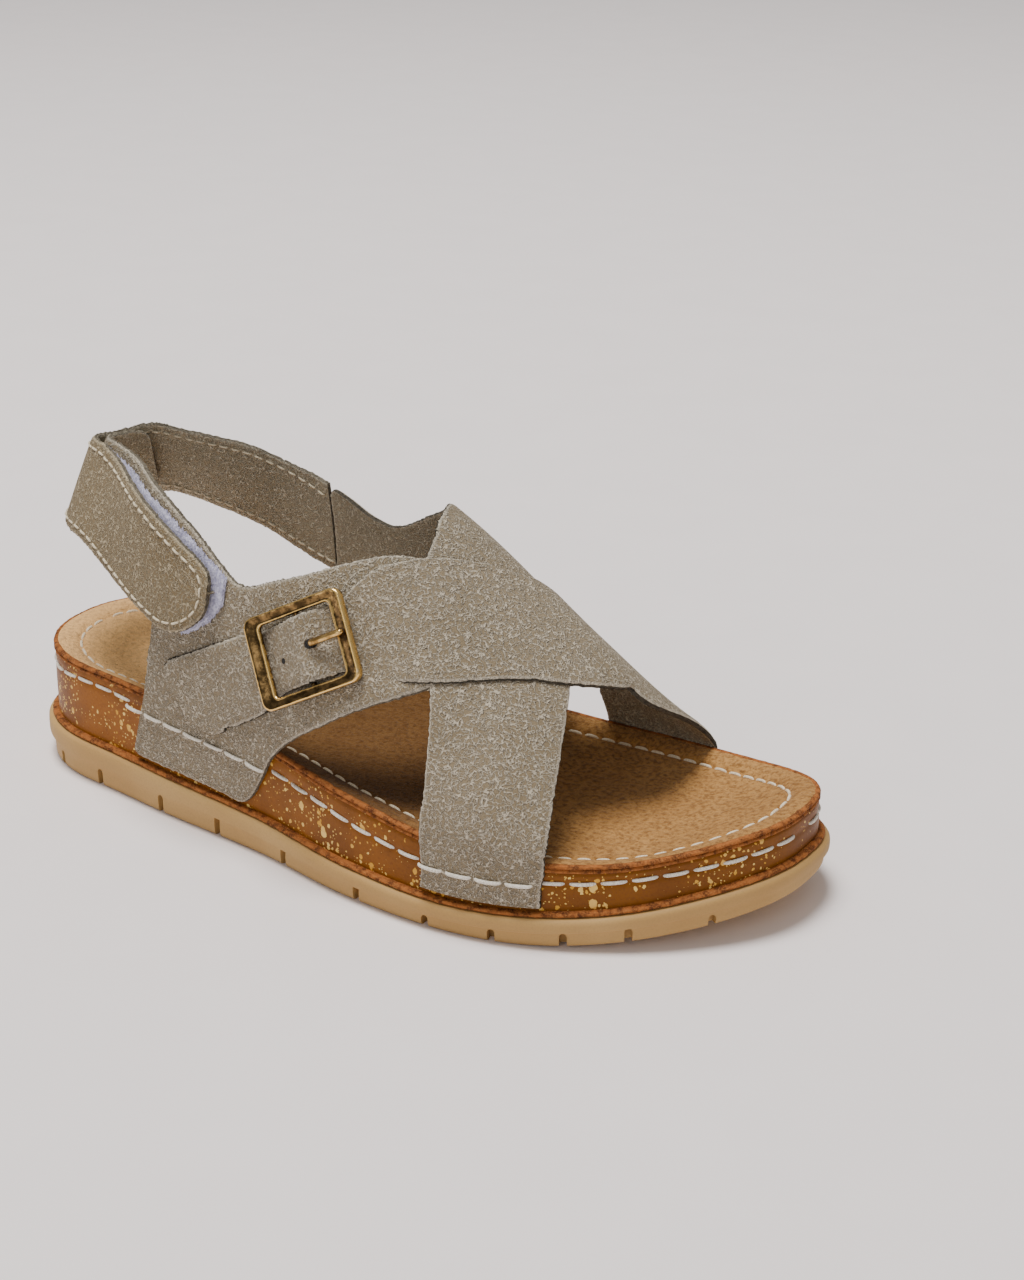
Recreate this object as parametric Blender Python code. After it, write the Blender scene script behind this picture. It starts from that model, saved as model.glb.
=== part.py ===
"""Cross strap sandal, right shoe, empty and unbent on its sole.

+X points to the toe, +Y to the inner (medial) side, +Z up. The origin is on the
floor under the middle of the outsole. All sizes are in metres.
"""
import math

import bmesh
import bpy
import numpy as np
from mathutils import Matrix, Vector

# Named sizes of the shoe
SOLE_LENGTH = 0.250
BALL_WIDTH = 0.0914
RIM_HEIGHT = 0.0383
LIP_HEIGHT = 0.0140
TOP_HEIGHT = 0.100
INSTEP_HEIGHT = 0.67 * TOP_HEIGHT
TOE_SPRING = 0.0096
SPRING_START = 0.75
HEEL_LEAN = 0.29
BACK_LEAN = 0.30
LEAN_START = 0.010
FIT_GAP = 0.0003

# Outsole, midsole and insole
LIP_OUT = 0.0039
BAND_OUT = 0.0024
BAND_SHARE = 0.60
LEDGE_OUT = 0.0024
LEDGE_HEIGHT = 0.0016
INSOLE_EDGE = 0.0022
HEEL_DISH = 0.0050
BALL_DISH = 0.0030
NOTCH_WIDTH = 0.0022
NOTCH_DEPTH = 0.0030
GROOVE_DEPTH = 0.0012

# Straps
STRAP_THICK = 0.0020
CROSS_LIFT = 0.0019
SLING_THICK = 0.0019
TAPE_THICK = 0.0009

# Buckle
BUCKLE_LENGTH = 0.0330
BUCKLE_WIDTH = 0.0270
SIDE_BAR = 0.0046
END_BAR = 0.0030
BUCKLE_THICK = 0.0026
CENTRE_BAR_RADIUS = 0.0008
PRONG_RADIUS = 0.0010

# station: share of SOLE_LENGTH from the heel
# centre, half_width, crown_shift: shares of BALL_WIDTH
# rim: share of RIM_HEIGHT, lip: share of LIP_HEIGHT, crown: share of INSTEP_HEIGHT
# the last four shape each side of the section: bulge and drop, outer side then inner side
SECTION_COLUMNS = ("station", "centre", "half_width", "rim", "lip", "crown", "crown_shift",
                   "outer_bulge", "outer_drop", "inner_bulge", "inner_drop")
SECTIONS = (
    (0.00, 0.001, 0.349, 1.000, 1.000, 1.672, 0.000, 0.80, 0.95, 0.80, 0.95),
    (0.12, -0.001, 0.346, 0.987, 0.950, 1.612, 0.000, 0.80, 0.95, 0.80, 0.95),
    (0.27, -0.027, 0.367, 0.966, 0.886, 1.433, 0.033, 0.80, 0.95, 0.80, 0.95),
    (0.42, -0.045, 0.385, 0.912, 0.786, 1.172, 0.076, 0.80, 0.95, 0.974, 0.974),
    (0.57, -0.048, 0.450, 0.798, 0.664, 0.912, 0.136, 0.90, 0.95, 1.240, 0.988),
    (0.72, 0.010, 0.500, 0.666, 0.593, 0.637, 0.094, 1.00, 0.95, 1.803, 1.364),
    (0.87, 0.106, 0.453, 0.655, 0.779, 0.239, -0.002, 1.00, 0.95, 1.882, 1.581),
    (1.00, 0.191, 0.362, 0.830, 1.300, 0.109, -0.019, 1.00, 0.95, 1.715, 1.377),
)
HEEL_ROUND = (0.14, 2.21)
TOE_ROUND = (0.26, 2.56)

# Instep strap: inner quarter, over the crown, down to the outer side of the forefoot.
# girth: 0 at the crown, 1 at the rim of the sole, 2 at the lip of the outsole,
# negative on the outer side
INSTEP_COLUMNS = ("back_station", "back_girth", "front_station", "front_girth")
INSTEP_STRAP = (
    (0.666, -1.82, 0.799, -1.82),
    (0.668, -1.50, 0.800, -1.50),
    (0.666, -1.00, 0.803, -1.00),
    (0.667, -0.84, 0.803, -0.85),
    (0.657, -0.69, 0.797, -0.68),
    (0.639, -0.56, 0.784, -0.50),
    (0.605, -0.41, 0.762, -0.30),
    (0.572, -0.25, 0.738, -0.13),
    (0.559, -0.12, 0.717, 0.04),
    (0.547, -0.03, 0.696, 0.20),
    (0.530, 0.17, 0.678, 0.38),
    (0.506, 0.36, 0.660, 0.53),
    (0.463, 0.52, 0.635, 0.65),
    (0.420, 0.62, 0.603, 0.75),
    (0.381, 0.64, 0.575, 0.83),
    (0.345, 0.63, 0.548, 0.89),
    (0.322, 0.64, 0.528, 0.95),
    (0.321, 0.74, 0.516, 1.02),
    (0.318, 0.85, 0.508, 1.15),
    (0.305, 0.92, 0.503, 1.32),
    (0.293, 1.00, 0.500, 1.50),
    (0.272, 1.45, 0.498, 1.70),
    (0.257, 1.82, 0.497, 1.82),
)

# Cross strap over it: inner side of the forefoot, over the crown, back through the buckle.
# lift: share of STRAP_THICK over the last
CROSS_COLUMNS = ("back_station", "back_girth", "front_station", "front_girth", "lift")
CROSS_STRAP = (
    (0.683, 1.820, 0.820, 1.820, 0.15),
    (0.683, 1.400, 0.819, 1.400, 0.15),
    (0.682, 1.000, 0.817, 1.000, 0.15),
    (0.676, 0.852, 0.815, 0.880, 0.20),
    (0.669, 0.654, 0.813, 0.685, 0.45),
    (0.663, 0.458, 0.812, 0.490, 0.80),
    (0.657, 0.292, 0.808, 0.313, 0.95),
    (0.650, 0.136, 0.799, 0.145, 0.95),
    (0.640, -0.002, 0.779, -0.054, 0.95),
    (0.620, -0.060, 0.750, -0.220, 0.95),
    (0.596, -0.135, 0.716, -0.336, 0.95),
    (0.572, -0.213, 0.681, -0.441, 0.95),
    (0.552, -0.290, 0.648, -0.525, 0.95),
    (0.535, -0.371, 0.616, -0.585, 0.95),
    (0.524, -0.450, 0.585, -0.630, 0.95),
    (0.515, -0.513, 0.556, -0.650, 0.98),
    (0.492, -0.578, 0.532, -0.702, 1.70),
    (0.475, -0.622, 0.515, -0.741, 2.42),
    (0.457, -0.661, 0.496, -0.779, 1.75),
    (0.431, -0.714, 0.470, -0.831, 1.00),
)
# Its free tail on the outer quarter; heights are shares of TOP_HEIGHT
TAIL_COLUMNS = ("top_station", "top_height", "low_station", "low_height")
TAIL = (
    (0.402, 0.672, 0.444, 0.473),
    (0.370, 0.632, 0.418, 0.434),
    (0.335, 0.588, 0.394, 0.398),
    (0.305, 0.550, 0.372, 0.366),
    (0.289, 0.528, 0.356, 0.342),
    (0.281, 0.508, 0.342, 0.345),
    (0.279, 0.485, 0.320, 0.380),
    (0.282, 0.460, 0.302, 0.412),
)

# Outer quarter and its extension round the heel.
# way: signed way round the sole's edge from the heel's back as a share of SOLE_LENGTH,
# negative on the outer side; heights are shares of TOP_HEIGHT
QUARTER_COLUMNS = ("low_way", "low_height", "top_way", "top_height")
OUTER_QUARTER = (
    (-0.745, 0.658, -0.650, 0.878),
    (-0.700, 0.613, -0.630, 0.895),
    (-0.650, 0.560, -0.606, 0.900),
    (-0.602, 0.490, -0.578, 0.886),
    (-0.562, 0.425, -0.549, 0.862),
    (-0.533, 0.365, -0.519, 0.838),
    (-0.514, 0.310, -0.496, 0.820),
    (-0.494, 0.220, -0.482, 0.806),
    (-0.469, 0.147, -0.468, 0.796),
    (-0.430, 0.150, -0.450, 0.802),
    (-0.385, 0.156, -0.430, 0.835),
    (-0.330, 0.161, -0.405, 0.880),
    (-0.287, 0.167, -0.385, 0.918),
    (-0.296, 0.210, -0.370, 0.940),
    (-0.308, 0.300, -0.355, 0.960),
    (-0.322, 0.400, -0.340, 0.976),
    (-0.337, 0.500, -0.322, 0.990),
    (-0.346, 0.575, -0.300, 1.002),
    (-0.334, 0.632, -0.280, 1.012),
    (-0.300, 0.672, -0.258, 1.022),
    (-0.250, 0.712, -0.228, 1.028),
    (-0.200, 0.750, -0.195, 1.032),
    (-0.140, 0.778, -0.140, 1.034),
    (-0.070, 0.785, -0.070, 1.032),
    (0.000, 0.785, 0.000, 1.026),
    (0.070, 0.787, 0.070, 1.014),
    (0.110, 0.795, 0.110, 1.004),
    (0.130, 0.830, 0.130, 0.980),
)

# Slingback: from the seam on the inner side round the heel to its free end on the outer side
SLING_COLUMNS = ("way", "low_height", "top_height", "lift")
SLINGBACK = (
    (0.388, 0.598, 0.868, 0.15),
    (0.360, 0.615, 0.900, 0.15),
    (0.330, 0.645, 0.935, 0.15),
    (0.290, 0.695, 0.978, 0.18),
    (0.250, 0.728, 0.998, 0.35),
    (0.210, 0.748, 1.008, 0.70),
    (0.175, 0.756, 1.011, 1.10),
    (0.150, 0.760, 1.011, 1.34),
    (0.110, 0.762, 1.011, 1.38),
    (0.060, 0.762, 1.012, 1.38),
    (0.000, 0.762, 1.015, 1.38),
    (-0.080, 0.762, 1.022, 1.50),
    (-0.125, 0.764, 1.022, 2.10),
    (-0.160, 0.762, 1.023, 2.45),
    (-0.200, 0.745, 1.018, 2.45),
    (-0.235, 0.718, 1.002, 2.45),
    (-0.280, 0.690, 0.980, 2.45),
    (-0.330, 0.652, 0.950, 2.45),
    (-0.360, 0.628, 0.915, 2.45),
    (-0.385, 0.632, 0.878, 2.45),
    (-0.402, 0.652, 0.857, 2.45),
    (-0.416, 0.678, 0.835, 2.45),
    (-0.425, 0.706, 0.815, 2.45),
    (-0.429, 0.740, 0.790, 2.45),
)
TAPE_COLUMNS = ("way", "low_height", "top_height")
LOOP_TAPE = (
    (-0.170, 0.800, 1.010),
    (-0.200, 0.780, 1.005),
    (-0.235, 0.750, 0.995),
    (-0.280, 0.712, 0.982),
    (-0.330, 0.668, 0.960),
    (-0.360, 0.636, 0.932),
    (-0.382, 0.622, 0.900),
    (-0.408, 0.650, 0.860),
    (-0.428, 0.690, 0.830),
    (-0.442, 0.735, 0.810),
)
HOOK_TAPE = (
    (-0.170, 0.785, 1.005),
    (-0.200, 0.762, 1.000),
    (-0.235, 0.735, 0.985),
    (-0.280, 0.707, 0.963),
    (-0.330, 0.670, 0.933),
    (-0.360, 0.648, 0.900),
    (-0.385, 0.652, 0.862),
    (-0.402, 0.675, 0.840),
    (-0.414, 0.705, 0.815),
)

# Stations of the notches in the side of the outsole, and of the grooves under it
NOTCHES = (0.069, 0.144, 0.255, 0.350, 0.461, 0.579, 0.673, 0.750, 0.822, 0.881, 0.948)
NOTCH_HEIGHTS = (0.0050, 0.0056, 0.0060, 0.0064, 0.0058, 0.0054, 0.0036, 0.0040, 0.0042,
                 0.0044, 0.0034)
GROOVES = (0.144, 0.255, 0.350, 0.461, 0.579, 0.673, 0.750, 0.822)

# The buckle's four edges on the last, stations and heights as shares of TOP_HEIGHT
BUCKLE_REAR = (0.419, 0.575)
BUCKLE_FRONT = (0.559, 0.746)
BUCKLE_UPPER = (0.447, 0.765)
BUCKLE_LOWER = (0.506, 0.552)
PRONG_ROOT = 0.0046
PRONG_SIDE = 0.0006


def smooth_rows(rows, at):
    """Cubic through the rows of a table, read at the given values of its first column."""
    data = np.array(rows, float)
    return smooth_columns(data[:, 0], data[:, 1:], at)


def smooth_columns(keys, values, at):
    at = np.asarray(at, float)
    slopes = np.gradient(values, keys, axis=0)
    low = np.clip(np.searchsorted(keys, at, side="right") - 1, 0, len(keys) - 2)
    step = (keys[low + 1] - keys[low])[..., None]
    t = (at - keys[low])[..., None] / step
    first = (2 * t ** 3 - 3 * t ** 2 + 1) * values[low]
    second = (t ** 3 - 2 * t ** 2 + t) * step * slopes[low]
    third = (3 * t ** 2 - 2 * t ** 3) * values[low + 1]
    fourth = (t ** 3 - t ** 2) * step * slopes[low + 1]
    return first + second + third + fourth


def section(station):
    """All section sizes at a station, in metres."""
    row = smooth_rows(SECTIONS, station)
    scale = np.array((BALL_WIDTH, BALL_WIDTH, RIM_HEIGHT, LIP_HEIGHT, INSTEP_HEIGHT,
                      BALL_WIDTH, 1, 1, 1, 1))
    return row * scale


def end_round(station):
    station = np.asarray(station, float)
    share, power = HEEL_ROUND
    inner = np.clip(1 - station / share, 0, 1)
    heel = (1 - inner ** power) ** (1 / power)
    share, power = TOE_ROUND
    inner = np.clip(1 - (1 - station) / share, 0, 1)
    toe = (1 - inner ** power) ** (1 / power)
    return heel * toe


def edge_line(side):
    """The sole's edge on one side: way from the heel's back, x, y and outward normal."""
    share = np.linspace(0, math.pi, 1600)
    station = (1 - np.cos(share)) / 2
    station = np.where(station < 0.5, 0.5 * (2 * station) ** 1.4, 1 - 0.5 * (2 - 2 * station) ** 1.4)
    sizes = section(station)
    x = (station - 0.5) * SOLE_LENGTH
    y = sizes[:, 0] + side * sizes[:, 1] * end_round(station)
    way = np.concatenate(((0,), np.cumsum(np.hypot(np.diff(x), np.diff(y)))))
    dx = np.gradient(x, way)
    dy = np.gradient(y, way)
    size = np.hypot(dx, dy)
    return way, x, y, -side * dy / size, side * dx / size


EDGE = {-1: edge_line(-1), 1: edge_line(1)}


def edge_at(way):
    """x, y, normal of the edge at signed ways from the heel's back."""
    way = np.asarray(way, float)
    out = []
    for column in (1, 2, 3, 4):
        outer = np.interp(np.abs(way), EDGE[-1][0], EDGE[-1][column])
        inner = np.interp(np.abs(way), EDGE[1][0], EDGE[1][column])
        out.append(np.where(way < 0, outer, inner))
    return out


def way_of(station, side):
    return np.interp((np.asarray(station, float) - 0.5) * SOLE_LENGTH, EDGE[side][1], EDGE[side][0])


def ease(low, high, value):
    t = np.clip((value - low) / (high - low), 0, 1)
    return t * t * (3 - 2 * t)


def last_point(way, girth):
    """Point of the last: signed way round the edge, girth share (0 crown, 1 rim, 2 lip)."""
    x, y, nx, ny = edge_at(way)
    side = np.where(np.asarray(way) < 0, -1.0, 1.0)
    station = x / SOLE_LENGTH + 0.5
    sizes = section(station)
    width, rim, lip, crown, shift = [sizes[..., i] for i in (1, 2, 3, 4, 5)]
    bulge = np.where(side < 0, sizes[..., 6], sizes[..., 8])
    drop = np.where(side < 0, sizes[..., 7], sizes[..., 9])
    turn = ease(0.10, 0.30, station)
    dx = nx * (1 - turn)
    dy = ny * (1 - turn) + side * turn
    size = np.hypot(dx, dy)
    girth = np.abs(girth)
    angle = np.minimum(girth, 1) * math.pi / 2
    rise = crown * np.clip(np.cos(angle), 0, 1) ** drop
    lean = HEEL_LEAN * (1 + BACK_LEAN * nx ** 2) * (1 - turn) * rise ** 2 / (rise + LEAN_START)
    inset = width * (1 - np.sin(angle) ** bulge) + lean
    high = np.where(girth <= 1, rim + rise, rim - (girth - 1) * (rim - lip))
    px = x - dx / size * inset
    py = y - dy / size * inset + shift * np.cos(angle) ** 2
    return np.stack((px, py, high), -1)


def girth_of(way, high):
    """Girth share of a height on the side of the last."""
    x = edge_at(way)[0]
    sizes = section(x / SOLE_LENGTH + 0.5)
    rim, lip, crown = sizes[..., 2], sizes[..., 3], sizes[..., 4]
    drop = np.where(np.asarray(way) < 0, sizes[..., 7], sizes[..., 9])
    share = np.clip((high - rim) / crown, 0, 1) ** (1 / drop)
    above = np.arccos(share) / (math.pi / 2)
    below = 1 + (rim - high) / (rim - lip)
    return np.where(high < rim, below, above)


def over_foot(station, girth):
    way = np.where(np.asarray(girth) < 0, -way_of(station, -1), way_of(station, 1))
    return last_point(way, girth)


def round_heel(way, high):
    return last_point(way, girth_of(way, high))


def lifted(surface, a, b, lift, sign):
    """Surface points moved out along the normal by lift."""
    da, db = 0.002, 0.004
    if surface is round_heel:
        da, db = 0.0008, 0.0008
    pa = surface(a + da, b) - surface(a - da, b)
    pb = surface(a, b + db) - surface(a, b - db)
    normal = np.cross(pa, pb) * sign
    normal /= np.linalg.norm(normal, axis=-1, keepdims=True)
    return surface(a, b) + normal * lift[..., None]


def rows_along(table, count):
    """The table read at evenly spread rows."""
    data = np.array(table, float)
    return smooth_columns(np.arange(len(data), dtype=float), data,
                          np.linspace(0, len(data) - 1, count))


def new_object(name, bm, colour, metallic=0.0, rough=0.8):
    """One object with its own material; positions are moved to the part's origin."""
    bmesh.ops.translate(bm, verts=bm.verts, vec=ORIGIN_SHIFT)
    bmesh.ops.recalc_face_normals(bm, faces=bm.faces)
    mesh = bpy.data.meshes.new(name)
    bm.to_mesh(mesh)
    bm.free()
    obj = bpy.data.objects.new(name, mesh)
    material = bpy.data.materials.new(name)
    material.use_nodes = True
    shader = material.node_tree.nodes["Principled BSDF"]
    shader.inputs["Base Color"].default_value = colour + (1.0,)
    shader.inputs["Roughness"].default_value = rough
    shader.inputs["Metallic"].default_value = metallic
    mesh.materials.append(material)
    PARTS.objects.link(obj)
    return obj


def wall_mesh(inner, outer):
    """Closed wall between two grids of points of one size."""
    bm = bmesh.new()
    rows, columns = inner.shape[:2]
    low = [[bm.verts.new(p) for p in row] for row in inner]
    top = [[bm.verts.new(p) for p in row] for row in outer]
    for i in range(rows - 1):
        for j in range(columns - 1):
            bm.faces.new((low[i][j], low[i + 1][j], low[i + 1][j + 1], low[i][j + 1]))
            bm.faces.new((top[i][j], top[i][j + 1], top[i + 1][j + 1], top[i + 1][j]))
    rim = [(i, 0) for i in range(rows)]
    rim += [(rows - 1, j) for j in range(1, columns)]
    rim += [(i, columns - 1) for i in range(rows - 2, -1, -1)]
    rim += [(0, j) for j in range(columns - 2, 0, -1)]
    for k, (i, j) in enumerate(rim):
        m, n = rim[(k + 1) % len(rim)]
        bm.faces.new((low[i][j], top[i][j], top[m][n], low[m][n]))
    return bm


def foot_strap(rows, lifts, thick, columns):
    """Wall over the foot between a back edge and a front edge, both in station and girth."""
    share = np.linspace(0, 1, columns)
    station = rows[:, 0:1] + (rows[:, 2:3] - rows[:, 0:1]) * share
    girth = rows[:, 1:2] + (rows[:, 3:4] - rows[:, 1:2]) * share
    lift = np.repeat(lifts[:, None], columns, 1)
    inner = lifted(over_foot, station, girth, lift, 1.0)
    outer = lifted(over_foot, station, girth, lift + thick, 1.0)
    return wall_mesh(inner, outer)


def heel_strap(low, top, lifts, thick, columns):
    """Wall round the heel; low and top hold ways and heights of the two edges."""
    share = np.linspace(0, 1, columns)
    way = low[:, 0:1] + (top[:, 0:1] - low[:, 0:1]) * share
    high = low[:, 1:2] + (top[:, 1:2] - low[:, 1:2]) * share
    lift = np.repeat(lifts[:, None], columns, 1)
    inner = lifted(round_heel, way, high, lift, -1.0)
    outer = lifted(round_heel, way, high, lift + thick, -1.0)
    return wall_mesh(inner, outer)


def ribbon(table, thick, count, columns, lift=None):
    data = rows_along(table, count)
    low = np.stack((data[:, 0] * SOLE_LENGTH, data[:, 1] * TOP_HEIGHT), 1)
    top = np.stack((data[:, 0] * SOLE_LENGTH, data[:, 2] * TOP_HEIGHT), 1)
    lifts = data[:, 3] * STRAP_THICK if lift is None else np.full(count, lift)
    return heel_strap(low, top, lifts, thick, columns)


SOLE_STATIONS = (1 - np.cos(np.linspace(0.05, math.pi - 0.05, 34))) / 2
SOLE_COLUMNS = 8


def plan_rows(offset):
    """Left and right points of every station row, the edge moved out by offset."""
    rows = []
    for side in (-1, 1):
        way = way_of(SOLE_STATIONS, side) * side
        x, y, nx, ny = edge_at(way)
        rows.append(np.stack((x + nx * offset, y + ny * offset), -1))
    return rows


def sole_grid(offset, high):
    """Grid of points across the sole; high is a function of station and share across."""
    outer, inner = plan_rows(offset)
    share = np.linspace(-1, 1, SOLE_COLUMNS)
    share = np.sign(share) * np.abs(share) ** 0.8
    mix = (share[None, :, None] + 1) / 2
    plan = outer[:, None] * (1 - mix) + inner[:, None] * mix
    station = np.repeat(SOLE_STATIONS[:, None], SOLE_COLUMNS, 1)
    z = high(station, share[None, :] + 0 * station)
    return np.concatenate((plan, z[..., None]), -1)


def loop_of(grid):
    rows, columns = grid.shape[:2]
    out = [grid[i, 0] for i in range(rows)]
    out += [grid[rows - 1, j] for j in range(1, columns)]
    out += [grid[i, columns - 1] for i in range(rows - 2, -1, -1)]
    out += [grid[0, j] for j in range(columns - 2, 0, -1)]
    return out


def sole_body(bottom, rings, top):
    """Closed body: a bottom grid, rings up the side given as grids, and a top grid."""
    bm = bmesh.new()
    rows, columns = bottom.shape[:2]

    def add_cap(grid, flip):
        verts = [[bm.verts.new(p) for p in row] for row in grid]
        for i in range(rows - 1):
            for j in range(columns - 1):
                first = [verts[i][j], verts[i + 1][j], verts[i + 1][j + 1]]
                second = [verts[i][j], verts[i + 1][j + 1], verts[i][j + 1]]
                bm.faces.new(first[::-1] if flip else first)
                bm.faces.new(second[::-1] if flip else second)
        edge = [verts[i][0] for i in range(rows)]
        edge += [verts[rows - 1][j] for j in range(1, columns)]
        edge += [verts[i][columns - 1] for i in range(rows - 2, -1, -1)]
        edge += [verts[0][j] for j in range(columns - 2, 0, -1)]
        return edge

    loops = [add_cap(bottom, True)]
    for grid in rings:
        loops.append([bm.verts.new(p) for p in loop_of(grid)])
    loops.append(add_cap(top, False))
    for low, high in zip(loops, loops[1:]):
        for k in range(len(low)):
            n = (k + 1) % len(low)
            bm.faces.new((low[k], low[n], high[n], high[k]))
    return bm


def rim_at(station):
    return section(station)[..., 2]


def lip_at(station):
    return section(station)[..., 3]


def tread_at(station):
    past = np.clip((station - SPRING_START) / (1 - SPRING_START), 0, 1)
    return TOE_SPRING * past ** 2


def dish_at(station, share):
    """How far the footbed lies below its rim."""
    depth = HEEL_DISH + (BALL_DISH - HEEL_DISH) * ease(0.25, 0.60, station)
    ends = np.minimum(ease(0.0, 0.13, station), ease(0.0, 0.16, 1 - station))
    return depth * ends * (1 - np.abs(share) ** 4)


def build_outsole():
    def band_top(station):
        low = tread_at(station)
        return low + (lip_at(station) - low) * BAND_SHARE

    tread = sole_grid(BAND_OUT - 0.0010, lambda s, t: tread_at(s))
    rings = (
        sole_grid(BAND_OUT, lambda s, t: tread_at(s) + 0.0010),
        sole_grid(BAND_OUT, lambda s, t: band_top(s) - 0.0006),
        sole_grid(LIP_OUT, lambda s, t: band_top(s)),
        sole_grid(LIP_OUT, lambda s, t: lip_at(s) - 0.0008),
    )
    top = sole_grid(LIP_OUT - 0.0008, lambda s, t: lip_at(s))
    body = sole_body(tread, rings, top)
    obj = new_object("outsole", body, (0.47, 0.36, 0.21), rough=0.6)
    cutters = bmesh.new()
    for station, height in zip(NOTCHES, NOTCH_HEIGHTS):
        for side in (-1, 1):
            add_notch(cutters, station, side, height)
    for station in GROOVES:
        add_groove(cutters, station)
    cut_from(obj, "outsole_cuts", cutters)


def add_notch(bm, station, side, height):
    """Slot with a round top in the lower band, seen from the side."""
    way = float(way_of(station, side)) * side
    x, y, nx, ny = [float(v) for v in edge_at(way)]
    base = float(tread_at(station)) - 0.002
    outward = Vector((nx, ny, 0))
    along = Vector((-ny, nx, 0))
    start = Vector((x, y, 0)) + outward * (BAND_OUT + 0.0025)
    profile = [(-NOTCH_WIDTH / 2, base), (NOTCH_WIDTH / 2, base)]
    top = base + 0.002 + height - NOTCH_WIDTH / 2
    for step in range(5):
        angle = math.pi * step / 4
        profile.append((math.cos(angle) * NOTCH_WIDTH / 2, top + math.sin(angle) * NOTCH_WIDTH / 2))
    add_prism(bm, start, along, -outward, profile, NOTCH_DEPTH + 0.0025)


def add_groove(bm, station):
    """Shallow groove across the tread between two notches."""
    x = float((station - 0.5) * SOLE_LENGTH)
    low = float(tread_at(station))
    half = BALL_WIDTH * 0.36
    middle = float(section(station)[0])
    wide = NOTCH_WIDTH * 0.9
    profile = [(-wide / 2, low - 0.002), (wide / 2, low - 0.002),
               (wide / 2 * 0.6, low + GROOVE_DEPTH), (-wide / 2 * 0.6, low + GROOVE_DEPTH)]
    reach = half * float(section(station)[1]) / (BALL_WIDTH / 2)
    start = Vector((x, middle - reach, 0))
    add_prism(bm, start, Vector((1, 0, 0)), Vector((0, 1, 0)), profile, 2 * reach)


def add_prism(bm, start, along, depth, profile, length):
    """Prism with a profile in the plane of along and Z, pushed along depth."""
    near = [bm.verts.new(start + along * a + Vector((0, 0, z))) for a, z in profile]
    far = [bm.verts.new(v.co + depth * length) for v in near]
    bm.faces.new(near)
    bm.faces.new(far[::-1])
    count = len(near)
    for k in range(count):
        n = (k + 1) % count
        bm.faces.new((near[k], far[k], far[n], near[n]))


def hidden_cutter(name, bm):
    bmesh.ops.translate(bm, verts=bm.verts, vec=ORIGIN_SHIFT)
    bmesh.ops.recalc_face_normals(bm, faces=bm.faces)
    mesh = bpy.data.meshes.new(name)
    bm.to_mesh(mesh)
    bm.free()
    cutter = bpy.data.objects.new(name, mesh)
    cutter.display_type = 'WIRE'
    cutter.hide_render = True
    CUTTERS.objects.link(cutter)
    return cutter


def add_boolean(obj, cutter, operation):
    change = obj.modifiers.new(cutter.name, 'BOOLEAN')
    change.operation = operation
    change.solver = 'EXACT'
    change.object = cutter
    return change


def cut_from(obj, name, bm):
    add_boolean(obj, hidden_cutter(name, bm), 'DIFFERENCE')


def midsole_top(station, share):
    """Underside of the insole less the gap: flat at the rim, dished inside."""
    return rim_at(station) - INSOLE_EDGE - FIT_GAP - dish_at(station, share)


def build_midsole():
    base = FIT_GAP
    bottom = sole_grid(LEDGE_OUT - 0.0004, lambda s, t: lip_at(s) + base)
    rings = (
        sole_grid(LEDGE_OUT, lambda s, t: lip_at(s) + base + 0.0004),
        sole_grid(LEDGE_OUT, lambda s, t: lip_at(s) + base + LEDGE_HEIGHT - 0.0003),
        sole_grid(LEDGE_OUT - 0.0004, lambda s, t: lip_at(s) + base + LEDGE_HEIGHT),
        sole_grid(0.0, lambda s, t: lip_at(s) + base + LEDGE_HEIGHT + 0.0002),
        sole_grid(0.0, lambda s, t: (lip_at(s) + rim_at(s)) / 2),
    )
    top = sole_grid(0.0, midsole_top)
    body = sole_body(bottom, rings, top)
    new_object("midsole", body, (0.42, 0.17, 0.04), rough=0.7)


def build_insole():
    def floor(station, share):
        return midsole_top(station, share) + FIT_GAP

    def surface(station, share):
        return rim_at(station) - dish_at(station, share)

    bottom = sole_grid(0.0, floor)
    rings = (
        sole_grid(0.0, lambda s, t: rim_at(s) - INSOLE_EDGE + 0.0003),
        sole_grid(0.0, lambda s, t: rim_at(s) - 0.0005),
    )
    top = sole_grid(-0.0006, surface)
    body = sole_body(bottom, rings, top)
    new_object("insole", body, (0.36, 0.22, 0.10), rough=0.95)


def cross_rows(count):
    over = np.array(CROSS_STRAP, float)
    tail = np.array(TAIL, float)
    ways_top = -way_of(tail[:, 0], -1)
    ways_low = -way_of(tail[:, 2], -1)
    girth_top = -girth_of(ways_top, tail[:, 1] * TOP_HEIGHT)
    girth_low = -girth_of(ways_low, tail[:, 3] * TOP_HEIGHT)
    flat = np.full(len(tail), CROSS_LIFT / STRAP_THICK)
    tail_rows = np.stack((tail[:, 0], girth_top, tail[:, 2], girth_low, flat), 1)
    return rows_along(np.concatenate((over, tail_rows)), count)


def buckle_frame():
    """Centre and axes of the buckle: along the strap, across it, and out."""
    points = []
    for station, high in (BUCKLE_REAR, BUCKLE_FRONT, BUCKLE_UPPER, BUCKLE_LOWER):
        way = np.array([-float(way_of(station, -1))])
        girth = -girth_of(way, np.array([high * TOP_HEIGHT]))
        lift = np.array([CROSS_LIFT + STRAP_THICK])
        points.append(Vector(lifted(over_foot, np.array([station]), girth, lift, 1.0)[0]))
    rear, front, upper, lower = points
    along = (front - rear).normalized()
    across = upper - lower
    out = along.cross(across).normalized()
    across = out.cross(along).normalized()
    if out.y > 0:
        out = -out
    return (rear + front) / 2, along, across, out


def in_buckle(points):
    """Points in the buckle's own axes: along, across and out."""
    centre, along, across, out = buckle_frame()
    away = points - np.array(centre)
    return np.stack([away @ np.array(axis) for axis in (along, across, out)], -1)


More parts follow.
